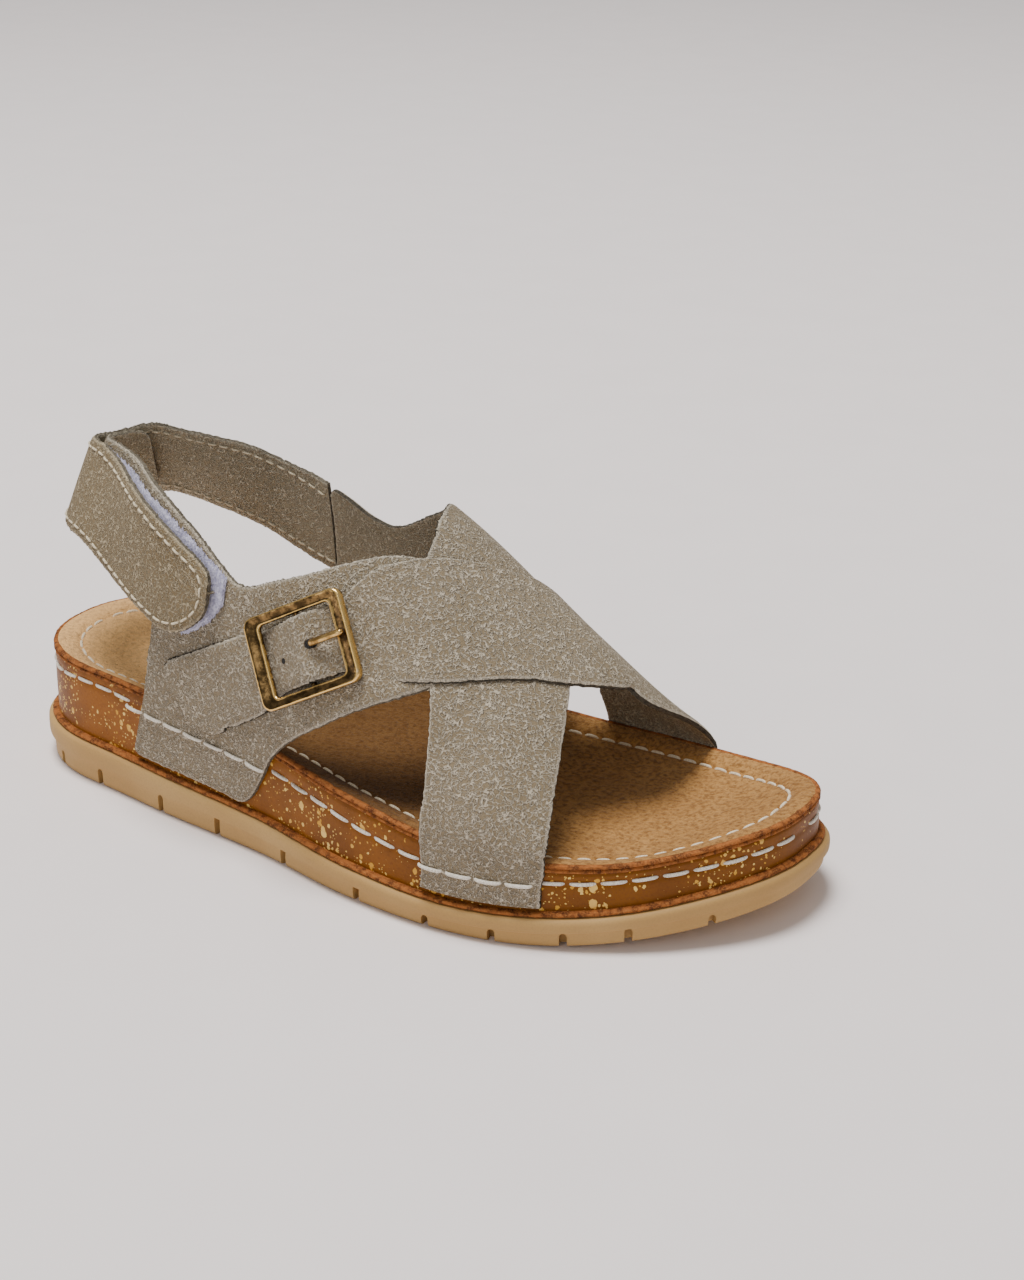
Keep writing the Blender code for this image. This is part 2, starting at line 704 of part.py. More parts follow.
def flat_under_buckle(grid):
    """Takes the twist out of the cross strap where the buckle lies on it."""
    place = in_buckle(grid)
    first = place[:, :1]
    last = place[:, -1:]
    slope = (last[..., 2] - first[..., 2]) / (last[..., 1] - first[..., 1])
    middle = (first[..., 1] + last[..., 1]) / 2
    near = 1 - ease(0.52 * BUCKLE_LENGTH, 0.85 * BUCKLE_LENGTH, np.abs(place[..., 0]))
    near = near * (1 - ease(0.55 * BUCKLE_WIDTH, 0.90 * BUCKLE_WIDTH, np.abs(place[..., 1])))
    change = -slope * (place[..., 1] - middle) * near
    return grid + change[..., None] * np.array(buckle_frame()[3])


def cross_surface(count, columns, lift):
    """The cross strap's surface at a lift over its inner face."""
    rows = cross_rows(count)
    share = np.linspace(0, 1, columns)
    station = rows[:, 0:1] + (rows[:, 2:3] - rows[:, 0:1]) * share
    girth = rows[:, 1:2] + (rows[:, 3:4] - rows[:, 1:2]) * share
    lifts = np.repeat((rows[:, 4] * STRAP_THICK + lift)[:, None], columns, 1)
    return flat_under_buckle(lifted(over_foot, station, girth, lifts, 1.0))


def strap_surface(lift):
    """Points of the cross strap's surface in the buckle's axes."""
    return in_buckle(cross_surface(280, 25, lift)).reshape(-1, 3)


def buckle_levels():
    """Height of the frame's underside, just over the strap, and of both ends of the bar under it."""
    top = strap_surface(STRAP_THICK)
    window = (BUCKLE_LENGTH / 2 - SIDE_BAR, BUCKLE_WIDTH / 2 - END_BAR)
    under = (np.abs(top[:, 0]) < BUCKLE_LENGTH / 2) & (np.abs(top[:, 1]) < BUCKLE_WIDTH / 2)
    inside = (np.abs(top[:, 0]) < window[0]) & (np.abs(top[:, 1]) < window[1])
    stand = top[under & ~inside, 2].max() + FIT_GAP
    low = strap_surface(0.0)
    ends = []
    for side in (-1, 1):
        away = np.hypot(low[:, 0], low[:, 1] - side * window[1] * 0.85)
        nearest = np.argsort(away)[:12]
        ends.append(float(low[nearest, 2].min()) - CENTRE_BAR_RADIUS - FIT_GAP)
    return float(stand), ends


def build_upper():
    instep = rows_along(INSTEP_STRAP, 43)
    lifts = np.full(len(instep), FIT_GAP)
    strap = foot_strap(instep, lifts, STRAP_THICK, 7)
    upper = new_object("upper", strap, (0.30, 0.27, 0.21), rough=0.95)
    bm = wall_mesh(cross_surface(50, 7, 0.0), cross_surface(50, 7, STRAP_THICK))
    add_boolean(upper, hidden_cutter("cross_strap", bm), 'UNION')
    quarter = rows_along(OUTER_QUARTER, 52)
    scale = np.array((SOLE_LENGTH, TOP_HEIGHT))
    low = quarter[:, 0:2] * scale
    top = quarter[:, 2:4] * scale
    bm = heel_strap(low, top, np.full(len(quarter), FIT_GAP), STRAP_THICK, 7)
    add_boolean(upper, hidden_cutter("outer_quarter", bm), 'UNION')
    centre, along, across, out = buckle_frame()
    hole = bmesh.new()
    spot = centre + along * PRONG_ROOT + across * PRONG_SIDE
    low = sum(buckle_levels()[1]) / 2
    add_rod(hole, (spot + out * low, spot + out * (low + 4 * STRAP_THICK)), PRONG_RADIUS + 0.0005, 10)
    cut_from(upper, "prong_hole", hole)


def add_rod(bm, path, radius, sides):
    """Round bar along a path of points."""
    rings = []
    for k, point in enumerate(path):
        before = path[max(k - 1, 0)]
        after = path[min(k + 1, len(path) - 1)]
        axis = (after - before).normalized()
        first = axis.orthogonal().normalized()
        if rings:
            first = (last_first - axis * last_first.dot(axis)).normalized()
        second = axis.cross(first)
        last_first = first
        ring = []
        for step in range(sides):
            angle = 2 * math.pi * step / sides
            offset = first * math.cos(angle) + second * math.sin(angle)
            ring.append(bm.verts.new(point + offset * radius))
        rings.append(ring)
    for low, high in zip(rings, rings[1:]):
        for k in range(sides):
            n = (k + 1) % sides
            bm.faces.new((low[k], low[n], high[n], high[k]))
    bm.faces.new(rings[0][::-1])
    bm.faces.new(rings[-1])


def rounded_box_loop(length, width, radius, steps):
    out = []
    for cx, cy, start in ((1, 1, 0), (-1, 1, 90), (-1, -1, 180), (1, -1, 270)):
        for step in range(steps + 1):
            angle = math.radians(start + 90 * step / steps)
            out.append(((length / 2 - radius) * cx + radius * math.cos(angle),
                        (width / 2 - radius) * cy + radius * math.sin(angle)))
    return out


def build_buckle():
    centre, along, across, out = buckle_frame()
    bm = bmesh.new()
    edge = 0.0005
    base, levels = buckle_levels()
    top = base + BUCKLE_THICK
    outer = (BUCKLE_LENGTH, BUCKLE_WIDTH, 0.0032)
    inner = (BUCKLE_LENGTH - 2 * SIDE_BAR, BUCKLE_WIDTH - 2 * END_BAR, 0.0012)
    profile = ((outer, -edge, base), (outer, 0, base + edge), (outer, 0, top - 2 * edge),
               (outer, -2 * edge, top), (inner, 2 * edge, top), (inner, 0, top - 2 * edge),
               (inner, 0, base + edge), (inner, edge, base))
    rings = []
    for (length, width, radius), grow, high in profile:
        loop = rounded_box_loop(length + 2 * grow, width + 2 * grow, radius + grow, 4)
        rings.append([bm.verts.new(centre + along * a + across * b + out * high) for a, b in loop])
    for low, high in zip(rings, rings[1:] + rings[:1]):
        for k in range(len(low)):
            n = (k + 1) % len(low)
            bm.faces.new((low[k], low[n], high[n], high[k]))
    frame = new_object("buckle_frame", bm, (0.36, 0.27, 0.15), metallic=1.0, rough=0.4)
    bar = bmesh.new()
    reach = BUCKLE_WIDTH / 2 - END_BAR / 2
    turn = 2 * CENTRE_BAR_RADIUS
    bend = ((-reach, base + CENTRE_BAR_RADIUS), (-reach + turn * 0.2, base - turn * 0.1),
            (-reach + turn, levels[0]), (reach - turn, levels[1]), (reach - turn * 0.2, base - turn * 0.1),
            (reach, base + CENTRE_BAR_RADIUS))
    add_rod(bar, [centre + across * b + out * h for b, h in bend], CENTRE_BAR_RADIUS, 10)
    add_boolean(frame, hidden_cutter("centre_bar", bar), 'UNION')


def build_prong():
    centre, along, across, out = buckle_frame()
    side = across * PRONG_SIDE
    stand, ends = buckle_levels()
    tip = BUCKLE_LENGTH / 2
    strap = strap_surface(STRAP_THICK)
    below = (strap[:, 0] > PRONG_ROOT) & (strap[:, 0] < tip)
    below &= np.abs(strap[:, 1] - PRONG_SIDE) < 2 * PRONG_RADIUS
    over = max(stand + BUCKLE_THICK, strap[below, 2].max()) + PRONG_RADIUS + FIT_GAP
    rise = over - sum(ends) / 2
    heights = ((PRONG_ROOT, over - rise), (PRONG_ROOT + 0.0001, over - rise * 0.20),
               (PRONG_ROOT + 0.0010, over - rise * 0.03), (PRONG_ROOT + 0.0040, over),
               (tip - SIDE_BAR * 0.6, over), (tip - SIDE_BAR * 0.25, over - 0.0001))
    bm = bmesh.new()
    add_rod(bm, [centre + along * a + side + out * h for a, h in heights], PRONG_RADIUS, 10)
    new_object("buckle_prong", bm, (0.36, 0.27, 0.15), metallic=1.0, rough=0.4)


def build_slingback():
    bm = ribbon(SLINGBACK, SLING_THICK, 41, 5)
    new_object("slingback", bm, (0.28, 0.25, 0.20), rough=0.95)
    level = STRAP_THICK + 2 * FIT_GAP
    bm = ribbon(LOOP_TAPE, TAPE_THICK, 18, 4, level)
    new_object("loop_tape", bm, (0.46, 0.44, 0.60), rough=1.0)
    bm = ribbon(HOOK_TAPE, TAPE_THICK, 18, 4, level + TAPE_THICK + FIT_GAP)
    new_object("hook_tape", bm, (0.50, 0.48, 0.62), rough=1.0)


def outsole_middle():
    """Moves the middle of the outsole's box to the origin."""
    grid = sole_grid(LIP_OUT, lambda s, t: lip_at(s))
    low = grid.reshape(-1, 3).min(0)
    high = grid.reshape(-1, 3).max(0)
    return Vector((-(low[0] + high[0]) / 2, -(low[1] + high[1]) / 2, 0.0))


for old in list(bpy.data.objects):
    bpy.data.objects.remove(old, do_unlink=True)
PARTS = bpy.data.collections.new("cross_strap_sandal")
CUTTERS = bpy.data.collections.new("cutters")
bpy.context.scene.collection.children.link(PARTS)
bpy.context.scene.collection.children.link(CUTTERS)
ORIGIN_SHIFT = outsole_middle()

build_outsole()
build_midsole()
build_insole()
build_upper()
build_slingback()
build_buckle()
build_prong()
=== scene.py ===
"""Looks of the cross strap sandal, right shoe, empty and unbent on its sole.

+X points to the toe, +Y to the inner side, +Z up. All sizes are in metres.
"""
import math

import bmesh
import bpy
import numpy as np
from mathutils import Matrix, Vector
from mathutils import noise as solid_noise


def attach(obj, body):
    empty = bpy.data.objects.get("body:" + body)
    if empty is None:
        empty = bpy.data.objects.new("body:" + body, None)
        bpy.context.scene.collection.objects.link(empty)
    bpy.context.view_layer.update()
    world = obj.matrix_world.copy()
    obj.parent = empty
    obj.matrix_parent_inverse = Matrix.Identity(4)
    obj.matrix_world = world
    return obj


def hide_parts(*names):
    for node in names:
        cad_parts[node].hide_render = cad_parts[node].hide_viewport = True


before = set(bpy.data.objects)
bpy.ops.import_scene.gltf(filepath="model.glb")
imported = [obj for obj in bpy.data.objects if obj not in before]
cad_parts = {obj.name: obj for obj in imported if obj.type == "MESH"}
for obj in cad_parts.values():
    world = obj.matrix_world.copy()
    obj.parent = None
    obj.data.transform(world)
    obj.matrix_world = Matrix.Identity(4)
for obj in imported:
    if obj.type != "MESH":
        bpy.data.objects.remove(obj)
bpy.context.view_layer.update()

# Named sizes of the shoe
SOLE_LENGTH = 0.250
BALL_WIDTH = 0.0914
RIM_HEIGHT = 0.0383
LIP_HEIGHT = 0.0140
TOP_HEIGHT = 0.100
INSTEP_HEIGHT = 0.67 * TOP_HEIGHT
TOE_SPRING = 0.0096
SPRING_START = 0.75
HEEL_LEAN = 0.29
BACK_LEAN = 0.30
LEAN_START = 0.010
FIT_GAP = 0.0003

# Outsole, midsole and insole
LIP_OUT = 0.0039
BAND_OUT = 0.0024
BAND_SHARE = 0.60
LEDGE_OUT = 0.0024
INSOLE_EDGE = 0.0022
HEEL_DISH = 0.0050
BALL_DISH = 0.0030
NOTCH_WIDTH = 0.0022
NOTCH_DEPTH = 0.0030
GROOVE_DEPTH = 0.0012

# Straps
STRAP_THICK = 0.0020
CROSS_LIFT = 0.0019
SLING_THICK = 0.0019
TAPE_THICK = 0.0009

# Buckle
BUCKLE_LENGTH = 0.0330
BUCKLE_WIDTH = 0.0270
SIDE_BAR = 0.0046
END_BAR = 0.0030
BUCKLE_THICK = 0.0026
CENTRE_BAR_RADIUS = 0.0008
PRONG_RADIUS = 0.0010

# station: share of SOLE_LENGTH from the heel
# centre, half_width, crown_shift: shares of BALL_WIDTH
# rim: share of RIM_HEIGHT, lip: share of LIP_HEIGHT, crown: share of INSTEP_HEIGHT
# the last four shape each side of the section: bulge and drop, outer side then inner side
# columns: station, centre, half_width, rim, lip, crown, crown_shift,
# outer_bulge, outer_drop, inner_bulge, inner_drop
SECTIONS = (
    (0.00, 0.001, 0.349, 1.000, 1.000, 1.672, 0.000, 0.80, 0.95, 0.80, 0.95),
    (0.12, -0.001, 0.346, 0.987, 0.950, 1.612, 0.000, 0.80, 0.95, 0.80, 0.95),
    (0.27, -0.027, 0.367, 0.966, 0.886, 1.433, 0.033, 0.80, 0.95, 0.80, 0.95),
    (0.42, -0.045, 0.385, 0.912, 0.786, 1.172, 0.076, 0.80, 0.95, 0.974, 0.974),
    (0.57, -0.048, 0.450, 0.798, 0.664, 0.912, 0.136, 0.90, 0.95, 1.240, 0.988),
    (0.72, 0.010, 0.500, 0.666, 0.593, 0.637, 0.094, 1.00, 0.95, 1.803, 1.364),
    (0.87, 0.106, 0.453, 0.655, 0.779, 0.239, -0.002, 1.00, 0.95, 1.882, 1.581),
    (1.00, 0.191, 0.362, 0.830, 1.300, 0.109, -0.019, 1.00, 0.95, 1.715, 1.377),
)
HEEL_ROUND = (0.14, 2.21)
TOE_ROUND = (0.26, 2.56)

# Instep strap: inner quarter, over the crown, down to the outer side of the forefoot.
# girth: 0 at the crown, 1 at the rim of the sole, 2 at the lip of the outsole,
# negative on the outer side
# columns: back_station, back_girth, front_station, front_girth
INSTEP_STRAP = (
    (0.666, -1.82, 0.799, -1.82),
    (0.668, -1.50, 0.800, -1.50),
    (0.666, -1.00, 0.803, -1.00),
    (0.667, -0.84, 0.803, -0.85),
    (0.657, -0.69, 0.797, -0.68),
    (0.639, -0.56, 0.784, -0.50),
    (0.605, -0.41, 0.762, -0.30),
    (0.572, -0.25, 0.738, -0.13),
    (0.559, -0.12, 0.717, 0.04),
    (0.547, -0.03, 0.696, 0.20),
    (0.530, 0.17, 0.678, 0.38),
    (0.506, 0.36, 0.660, 0.53),
    (0.463, 0.52, 0.635, 0.65),
    (0.420, 0.62, 0.603, 0.75),
    (0.381, 0.64, 0.575, 0.83),
    (0.345, 0.63, 0.548, 0.89),
    (0.322, 0.64, 0.528, 0.95),
    (0.321, 0.74, 0.516, 1.02),
    (0.318, 0.85, 0.508, 1.15),
    (0.305, 0.92, 0.503, 1.32),
    (0.293, 1.00, 0.500, 1.50),
    (0.272, 1.45, 0.498, 1.70),
    (0.257, 1.82, 0.497, 1.82),
)

# Cross strap over it: inner side of the forefoot, over the crown, back through the buckle.
# lift: share of STRAP_THICK over the last
# columns: back_station, back_girth, front_station, front_girth, lift
CROSS_STRAP = (
    (0.683, 1.820, 0.820, 1.820, 0.15),
    (0.683, 1.400, 0.819, 1.400, 0.15),
    (0.682, 1.000, 0.817, 1.000, 0.15),
    (0.676, 0.852, 0.815, 0.880, 0.20),
    (0.669, 0.654, 0.813, 0.685, 0.45),
    (0.663, 0.458, 0.812, 0.490, 0.80),
    (0.657, 0.292, 0.808, 0.313, 0.95),
    (0.650, 0.136, 0.799, 0.145, 0.95),
    (0.640, -0.002, 0.779, -0.054, 0.95),
    (0.620, -0.060, 0.750, -0.220, 0.95),
    (0.596, -0.135, 0.716, -0.336, 0.95),
    (0.572, -0.213, 0.681, -0.441, 0.95),
    (0.552, -0.290, 0.648, -0.525, 0.95),
    (0.535, -0.371, 0.616, -0.585, 0.95),
    (0.524, -0.450, 0.585, -0.630, 0.95),
    (0.515, -0.513, 0.556, -0.650, 0.98),
    (0.492, -0.578, 0.532, -0.702, 1.70),
    (0.475, -0.622, 0.515, -0.741, 2.42),
    (0.457, -0.661, 0.496, -0.779, 1.75),
    (0.431, -0.714, 0.470, -0.831, 1.00),
)
# Its free tail on the outer quarter; heights are shares of TOP_HEIGHT
# columns: top_station, top_height, low_station, low_height
TAIL = (
    (0.402, 0.672, 0.444, 0.473),
    (0.370, 0.632, 0.418, 0.434),
    (0.335, 0.588, 0.394, 0.398),
    (0.305, 0.550, 0.372, 0.366),
    (0.289, 0.528, 0.356, 0.342),
    (0.281, 0.508, 0.342, 0.345),
    (0.279, 0.485, 0.320, 0.380),
    (0.282, 0.460, 0.302, 0.412),
)

# Outer quarter and its extension round the heel.
# way: signed way round the sole's edge from the heel's back as a share of SOLE_LENGTH,
# negative on the outer side; heights are shares of TOP_HEIGHT
# columns: low_way, low_height, top_way, top_height
OUTER_QUARTER = (
    (-0.745, 0.658, -0.650, 0.878),
    (-0.700, 0.613, -0.630, 0.895),
    (-0.650, 0.560, -0.606, 0.900),
    (-0.602, 0.490, -0.578, 0.886),
    (-0.562, 0.425, -0.549, 0.862),
    (-0.533, 0.365, -0.519, 0.838),
    (-0.514, 0.310, -0.496, 0.820),
    (-0.494, 0.220, -0.482, 0.806),
    (-0.469, 0.147, -0.468, 0.796),
    (-0.430, 0.150, -0.450, 0.802),
    (-0.385, 0.156, -0.430, 0.835),
    (-0.330, 0.161, -0.405, 0.880),
    (-0.287, 0.167, -0.385, 0.918),
    (-0.296, 0.210, -0.370, 0.940),
    (-0.308, 0.300, -0.355, 0.960),
    (-0.322, 0.400, -0.340, 0.976),
    (-0.337, 0.500, -0.322, 0.990),
    (-0.346, 0.575, -0.300, 1.002),
    (-0.334, 0.632, -0.280, 1.012),
    (-0.300, 0.672, -0.258, 1.022),
    (-0.250, 0.712, -0.228, 1.028),
    (-0.200, 0.750, -0.195, 1.032),
    (-0.140, 0.778, -0.140, 1.034),
    (-0.070, 0.785, -0.070, 1.032),
    (0.000, 0.785, 0.000, 1.026),
    (0.070, 0.787, 0.070, 1.014),
    (0.110, 0.795, 0.110, 1.004),
    (0.130, 0.830, 0.130, 0.980),
)

# Slingback: from the seam on the inner side round the heel to its free end on the outer side
# columns: way, low_height, top_height, lift
SLINGBACK = (
    (0.388, 0.598, 0.868, 0.15),
    (0.360, 0.615, 0.900, 0.15),
    (0.330, 0.645, 0.935, 0.15),
    (0.290, 0.695, 0.978, 0.18),
    (0.250, 0.728, 0.998, 0.35),
    (0.210, 0.748, 1.008, 0.70),
    (0.175, 0.756, 1.011, 1.10),
    (0.150, 0.760, 1.011, 1.34),
    (0.110, 0.762, 1.011, 1.38),
    (0.060, 0.762, 1.012, 1.38),
    (0.000, 0.762, 1.015, 1.38),
    (-0.080, 0.762, 1.022, 1.50),
    (-0.125, 0.764, 1.022, 2.10),
    (-0.160, 0.762, 1.023, 2.45),
    (-0.200, 0.745, 1.018, 2.45),
    (-0.235, 0.718, 1.002, 2.45),
    (-0.280, 0.690, 0.980, 2.45),
    (-0.330, 0.652, 0.950, 2.45),
    (-0.360, 0.628, 0.915, 2.45),
    (-0.385, 0.632, 0.878, 2.45),
    (-0.402, 0.652, 0.857, 2.45),
    (-0.416, 0.678, 0.835, 2.45),
    (-0.425, 0.706, 0.815, 2.45),
    (-0.429, 0.740, 0.790, 2.45),
)
# columns: way, low_height, top_height
LOOP_TAPE = (
    (-0.170, 0.800, 1.010),
    (-0.200, 0.780, 1.005),
    (-0.235, 0.750, 0.995),
    (-0.280, 0.712, 0.982),
    (-0.330, 0.668, 0.960),
    (-0.360, 0.636, 0.932),
    (-0.382, 0.622, 0.900),
    (-0.408, 0.650, 0.860),
    (-0.428, 0.690, 0.830),
    (-0.442, 0.735, 0.810),
)
HOOK_TAPE = (
    (-0.170, 0.785, 1.005),
    (-0.200, 0.762, 1.000),
    (-0.235, 0.735, 0.985),
    (-0.280, 0.707, 0.963),
    (-0.330, 0.670, 0.933),
    (-0.360, 0.648, 0.900),
    (-0.385, 0.652, 0.862),
    (-0.402, 0.675, 0.840),
    (-0.414, 0.705, 0.815),
)

# Stations of the notches in the side of the outsole, and of the grooves under it
NOTCHES = (0.069, 0.144, 0.255, 0.350, 0.461, 0.579, 0.673, 0.750, 0.822, 0.881, 0.948)
NOTCH_HEIGHTS = (0.0050, 0.0056, 0.0060, 0.0064, 0.0058, 0.0054, 0.0036, 0.0040, 0.0042,
                 0.0044, 0.0034)
GROOVES = (0.144, 0.255, 0.350, 0.461, 0.579, 0.673, 0.750, 0.822)

# The buckle's four edges on the last, stations and heights as shares of TOP_HEIGHT
BUCKLE_REAR = (0.419, 0.575)
BUCKLE_FRONT = (0.559, 0.746)
BUCKLE_UPPER = (0.447, 0.765)
BUCKLE_LOWER = (0.506, 0.552)
PRONG_ROOT = 0.0046
PRONG_SIDE = 0.0006


def unit(rows):
    """Rows scaled to length 1."""
    return rows / np.linalg.norm(rows, axis=-1, keepdims=True)


def ways_along(line):
    """Way from a line's start to each of its points."""
    return np.concatenate(((0,), np.cumsum(np.linalg.norm(np.diff(line, axis=0), axis=1))))


def read_line(line, ways, at):
    """The line's columns read at other ways along it."""
    return np.stack([np.interp(at, ways, column) for column in line.T], -1)


def smooth_rows(rows, at):
    """Cubic through the rows of a table, read at the given values of its first column."""
    data = np.array(rows, float)
    return smooth_columns(data[:, 0], data[:, 1:], at)


def smooth_columns(keys, values, at):
    """Cubic through values at keys, read at other places."""
    at = np.asarray(at, float)
    slopes = np.gradient(values, keys, axis=0)
    low = np.clip(np.searchsorted(keys, at, side="right") - 1, 0, len(keys) - 2)
    step = (keys[low + 1] - keys[low])[..., None]
    t = (at - keys[low])[..., None] / step
    first = (2 * t ** 3 - 3 * t ** 2 + 1) * values[low]
    second = (t ** 3 - 2 * t ** 2 + t) * step * slopes[low]
    third = (3 * t ** 2 - 2 * t ** 3) * values[low + 1]
    fourth = (t ** 3 - t ** 2) * step * slopes[low + 1]
    return first + second + third + fourth


def section(station):
    """All section sizes at a station, in metres."""
    row = smooth_rows(SECTIONS, station)
    scale = np.array((BALL_WIDTH, BALL_WIDTH, RIM_HEIGHT, LIP_HEIGHT, INSTEP_HEIGHT,
                      BALL_WIDTH, 1, 1, 1, 1))
    return row * scale


def end_round(station):
    """Rounding of the outline at both ends, from 0 at a tip to 1."""
    station = np.asarray(station, float)
    out = 1.0
    for (share, power), way in ((HEEL_ROUND, station), (TOE_ROUND, 1 - station)):
        inner = np.clip(1 - way / share, 0, 1)
        out = out * (1 - inner ** power) ** (1 / power)
    return out


def edge_line(side):
    """The sole's edge on one side: way from the heel's back, x, y and outward normal."""
    share = np.linspace(0, math.pi, 1600)
    station = (1 - np.cos(share)) / 2
    station = np.where(station < 0.5, 0.5 * (2 * station) ** 1.4, 1 - 0.5 * (2 - 2 * station) ** 1.4)
    sizes = section(station)
    x = (station - 0.5) * SOLE_LENGTH
    y = sizes[:, 0] + side * sizes[:, 1] * end_round(station)
    way = np.concatenate(((0,), np.cumsum(np.hypot(np.diff(x), np.diff(y)))))
    dx = np.gradient(x, way)
    dy = np.gradient(y, way)
    size = np.hypot(dx, dy)
    return way, x, y, -side * dy / size, side * dx / size


EDGE = {-1: edge_line(-1), 1: edge_line(1)}


def edge_at(way):
    """x, y, normal of the edge at signed ways from the heel's back."""
    way = np.asarray(way, float)
    out = []
    for column in (1, 2, 3, 4):
        outer = np.interp(np.abs(way), EDGE[-1][0], EDGE[-1][column])
        inner = np.interp(np.abs(way), EDGE[1][0], EDGE[1][column])
        out.append(np.where(way < 0, outer, inner))
    return out


def way_of(station, side):
    return np.interp((np.asarray(station, float) - 0.5) * SOLE_LENGTH, EDGE[side][1], EDGE[side][0])


def ease(low, high, value):
    t = np.clip((value - low) / (high - low), 0, 1)
    return t * t * (3 - 2 * t)


def last_point(way, girth):
    """Point of the last: signed way round the edge, girth share (0 crown, 1 rim, 2 lip)."""
    x, y, nx, ny = edge_at(way)
    side = np.where(np.asarray(way) < 0, -1.0, 1.0)
    station = x / SOLE_LENGTH + 0.5
    sizes = section(station)
    width, rim, lip, crown, shift = [sizes[..., i] for i in (1, 2, 3, 4, 5)]
    bulge = np.where(side < 0, sizes[..., 6], sizes[..., 8])
    drop = np.where(side < 0, sizes[..., 7], sizes[..., 9])
    turn = ease(0.10, 0.30, station)
    dx = nx * (1 - turn)
    dy = ny * (1 - turn) + side * turn
    size = np.hypot(dx, dy)
    girth = np.abs(girth)
    angle = np.minimum(girth, 1) * math.pi / 2
    rise = crown * np.clip(np.cos(angle), 0, 1) ** drop
    lean = HEEL_LEAN * (1 + BACK_LEAN * nx ** 2) * (1 - turn) * rise ** 2 / (rise + LEAN_START)
    inset = width * (1 - np.sin(angle) ** bulge) + lean
    high = np.where(girth <= 1, rim + rise, rim - (girth - 1) * (rim - lip))
    px = x - dx / size * inset
    py = y - dy / size * inset + shift * np.cos(angle) ** 2
    return np.stack((px, py, high), -1)


def girth_of(way, high):
    """Girth share of a height on the side of the last."""
    x = edge_at(way)[0]
    sizes = section(x / SOLE_LENGTH + 0.5)
    rim, lip, crown = sizes[..., 2], sizes[..., 3], sizes[..., 4]
    drop = np.where(np.asarray(way) < 0, sizes[..., 7], sizes[..., 9])
    share = np.clip((high - rim) / crown, 0, 1) ** (1 / drop)
    above = np.arccos(share) / (math.pi / 2)
    below = 1 + (rim - high) / (rim - lip)
    return np.where(high < rim, below, above)


def over_foot(station, girth):
    way = np.where(np.asarray(girth) < 0, -way_of(station, -1), way_of(station, 1))
    return last_point(way, girth)


def round_heel(way, high):
    return last_point(way, girth_of(way, high))


def lifted(surface, a, b, lift, sign):
    """Surface points moved out along the normal by lift."""
    da, db = 0.002, 0.004
    if surface is round_heel:
        da, db = 0.0008, 0.0008
    pa = surface(a + da, b) - surface(a - da, b)
    pb = surface(a, b + db) - surface(a, b - db)
    return surface(a, b) + unit(np.cross(pa, pb) * sign) * lift[..., None]


def rows_along(table, count):
    """The table read at evenly spread rows."""
    data = np.array(table, float)
    return smooth_columns(np.arange(len(data), dtype=float), data,
                          np.linspace(0, len(data) - 1, count))


def rim_at(station):
    return section(station)[..., 2]


def lip_at(station):
    return section(station)[..., 3]


def tread_at(station):
    past = np.clip((station - SPRING_START) / (1 - SPRING_START), 0, 1)
    return TOE_SPRING * past ** 2


def cross_rows(count):
    over = np.array(CROSS_STRAP, float)
    tail = np.array(TAIL, float)
    ways_top = -way_of(tail[:, 0], -1)
    ways_low = -way_of(tail[:, 2], -1)
    girth_top = -girth_of(ways_top, tail[:, 1] * TOP_HEIGHT)
    girth_low = -girth_of(ways_low, tail[:, 3] * TOP_HEIGHT)
    flat = np.full(len(tail), CROSS_LIFT / STRAP_THICK)
    tail_rows = np.stack((tail[:, 0], girth_top, tail[:, 2], girth_low, flat), 1)
    return rows_along(np.concatenate((over, tail_rows)), count)


def buckle_frame():
    """Centre and axes of the buckle: along the strap, across it, and out."""
    points = []
    for station, high in (BUCKLE_REAR, BUCKLE_FRONT, BUCKLE_UPPER, BUCKLE_LOWER):
        way = np.array([-float(way_of(station, -1))])
        girth = -girth_of(way, np.array([high * TOP_HEIGHT]))
        lift = np.array([CROSS_LIFT + STRAP_THICK])
        points.append(Vector(lifted(over_foot, np.array([station]), girth, lift, 1.0)[0]))
    rear, front, upper, lower = points
    along = (front - rear).normalized()
    across = upper - lower
    out = along.cross(across).normalized()
    across = out.cross(along).normalized()
    if out.y > 0:
        out = -out
    return (rear + front) / 2, along, across, out


def in_buckle(points):
    """Points in the buckle's own axes: along, across and out."""
    centre, along, across, out = buckle_frame()
    away = points - np.array(centre)
    return np.stack([away @ np.array(axis) for axis in (along, across, out)], -1)


def flat_under_buckle(grid):
    """Takes the twist out of the cross strap where the buckle lies on it."""
    place = in_buckle(grid)
    first = place[:, :1]
    last = place[:, -1:]
    slope = (last[..., 2] - first[..., 2]) / (last[..., 1] - first[..., 1])
    middle = (first[..., 1] + last[..., 1]) / 2
    near = 1 - ease(0.52 * BUCKLE_LENGTH, 0.85 * BUCKLE_LENGTH, np.abs(place[..., 0]))
    near = near * (1 - ease(0.55 * BUCKLE_WIDTH, 0.90 * BUCKLE_WIDTH, np.abs(place[..., 1])))
    change = -slope * (place[..., 1] - middle) * near
    return grid + change[..., None] * np.array(buckle_frame()[3])


def cross_surface(count, columns, lift):
    """The cross strap's surface at a lift over its inner face."""
    rows = cross_rows(count)
    share = np.linspace(0, 1, columns)
    station = rows[:, 0:1] + (rows[:, 2:3] - rows[:, 0:1]) * share
    girth = rows[:, 1:2] + (rows[:, 3:4] - rows[:, 1:2]) * share
    lifts = np.repeat((rows[:, 4] * STRAP_THICK + lift)[:, None], columns, 1)
    return flat_under_buckle(lifted(over_foot, station, girth, lifts, 1.0))


def strap_surface(lift):
    """Points of the cross strap's surface in the buckle's axes."""
    return in_buckle(cross_surface(280, 25, lift)).reshape(-1, 3)


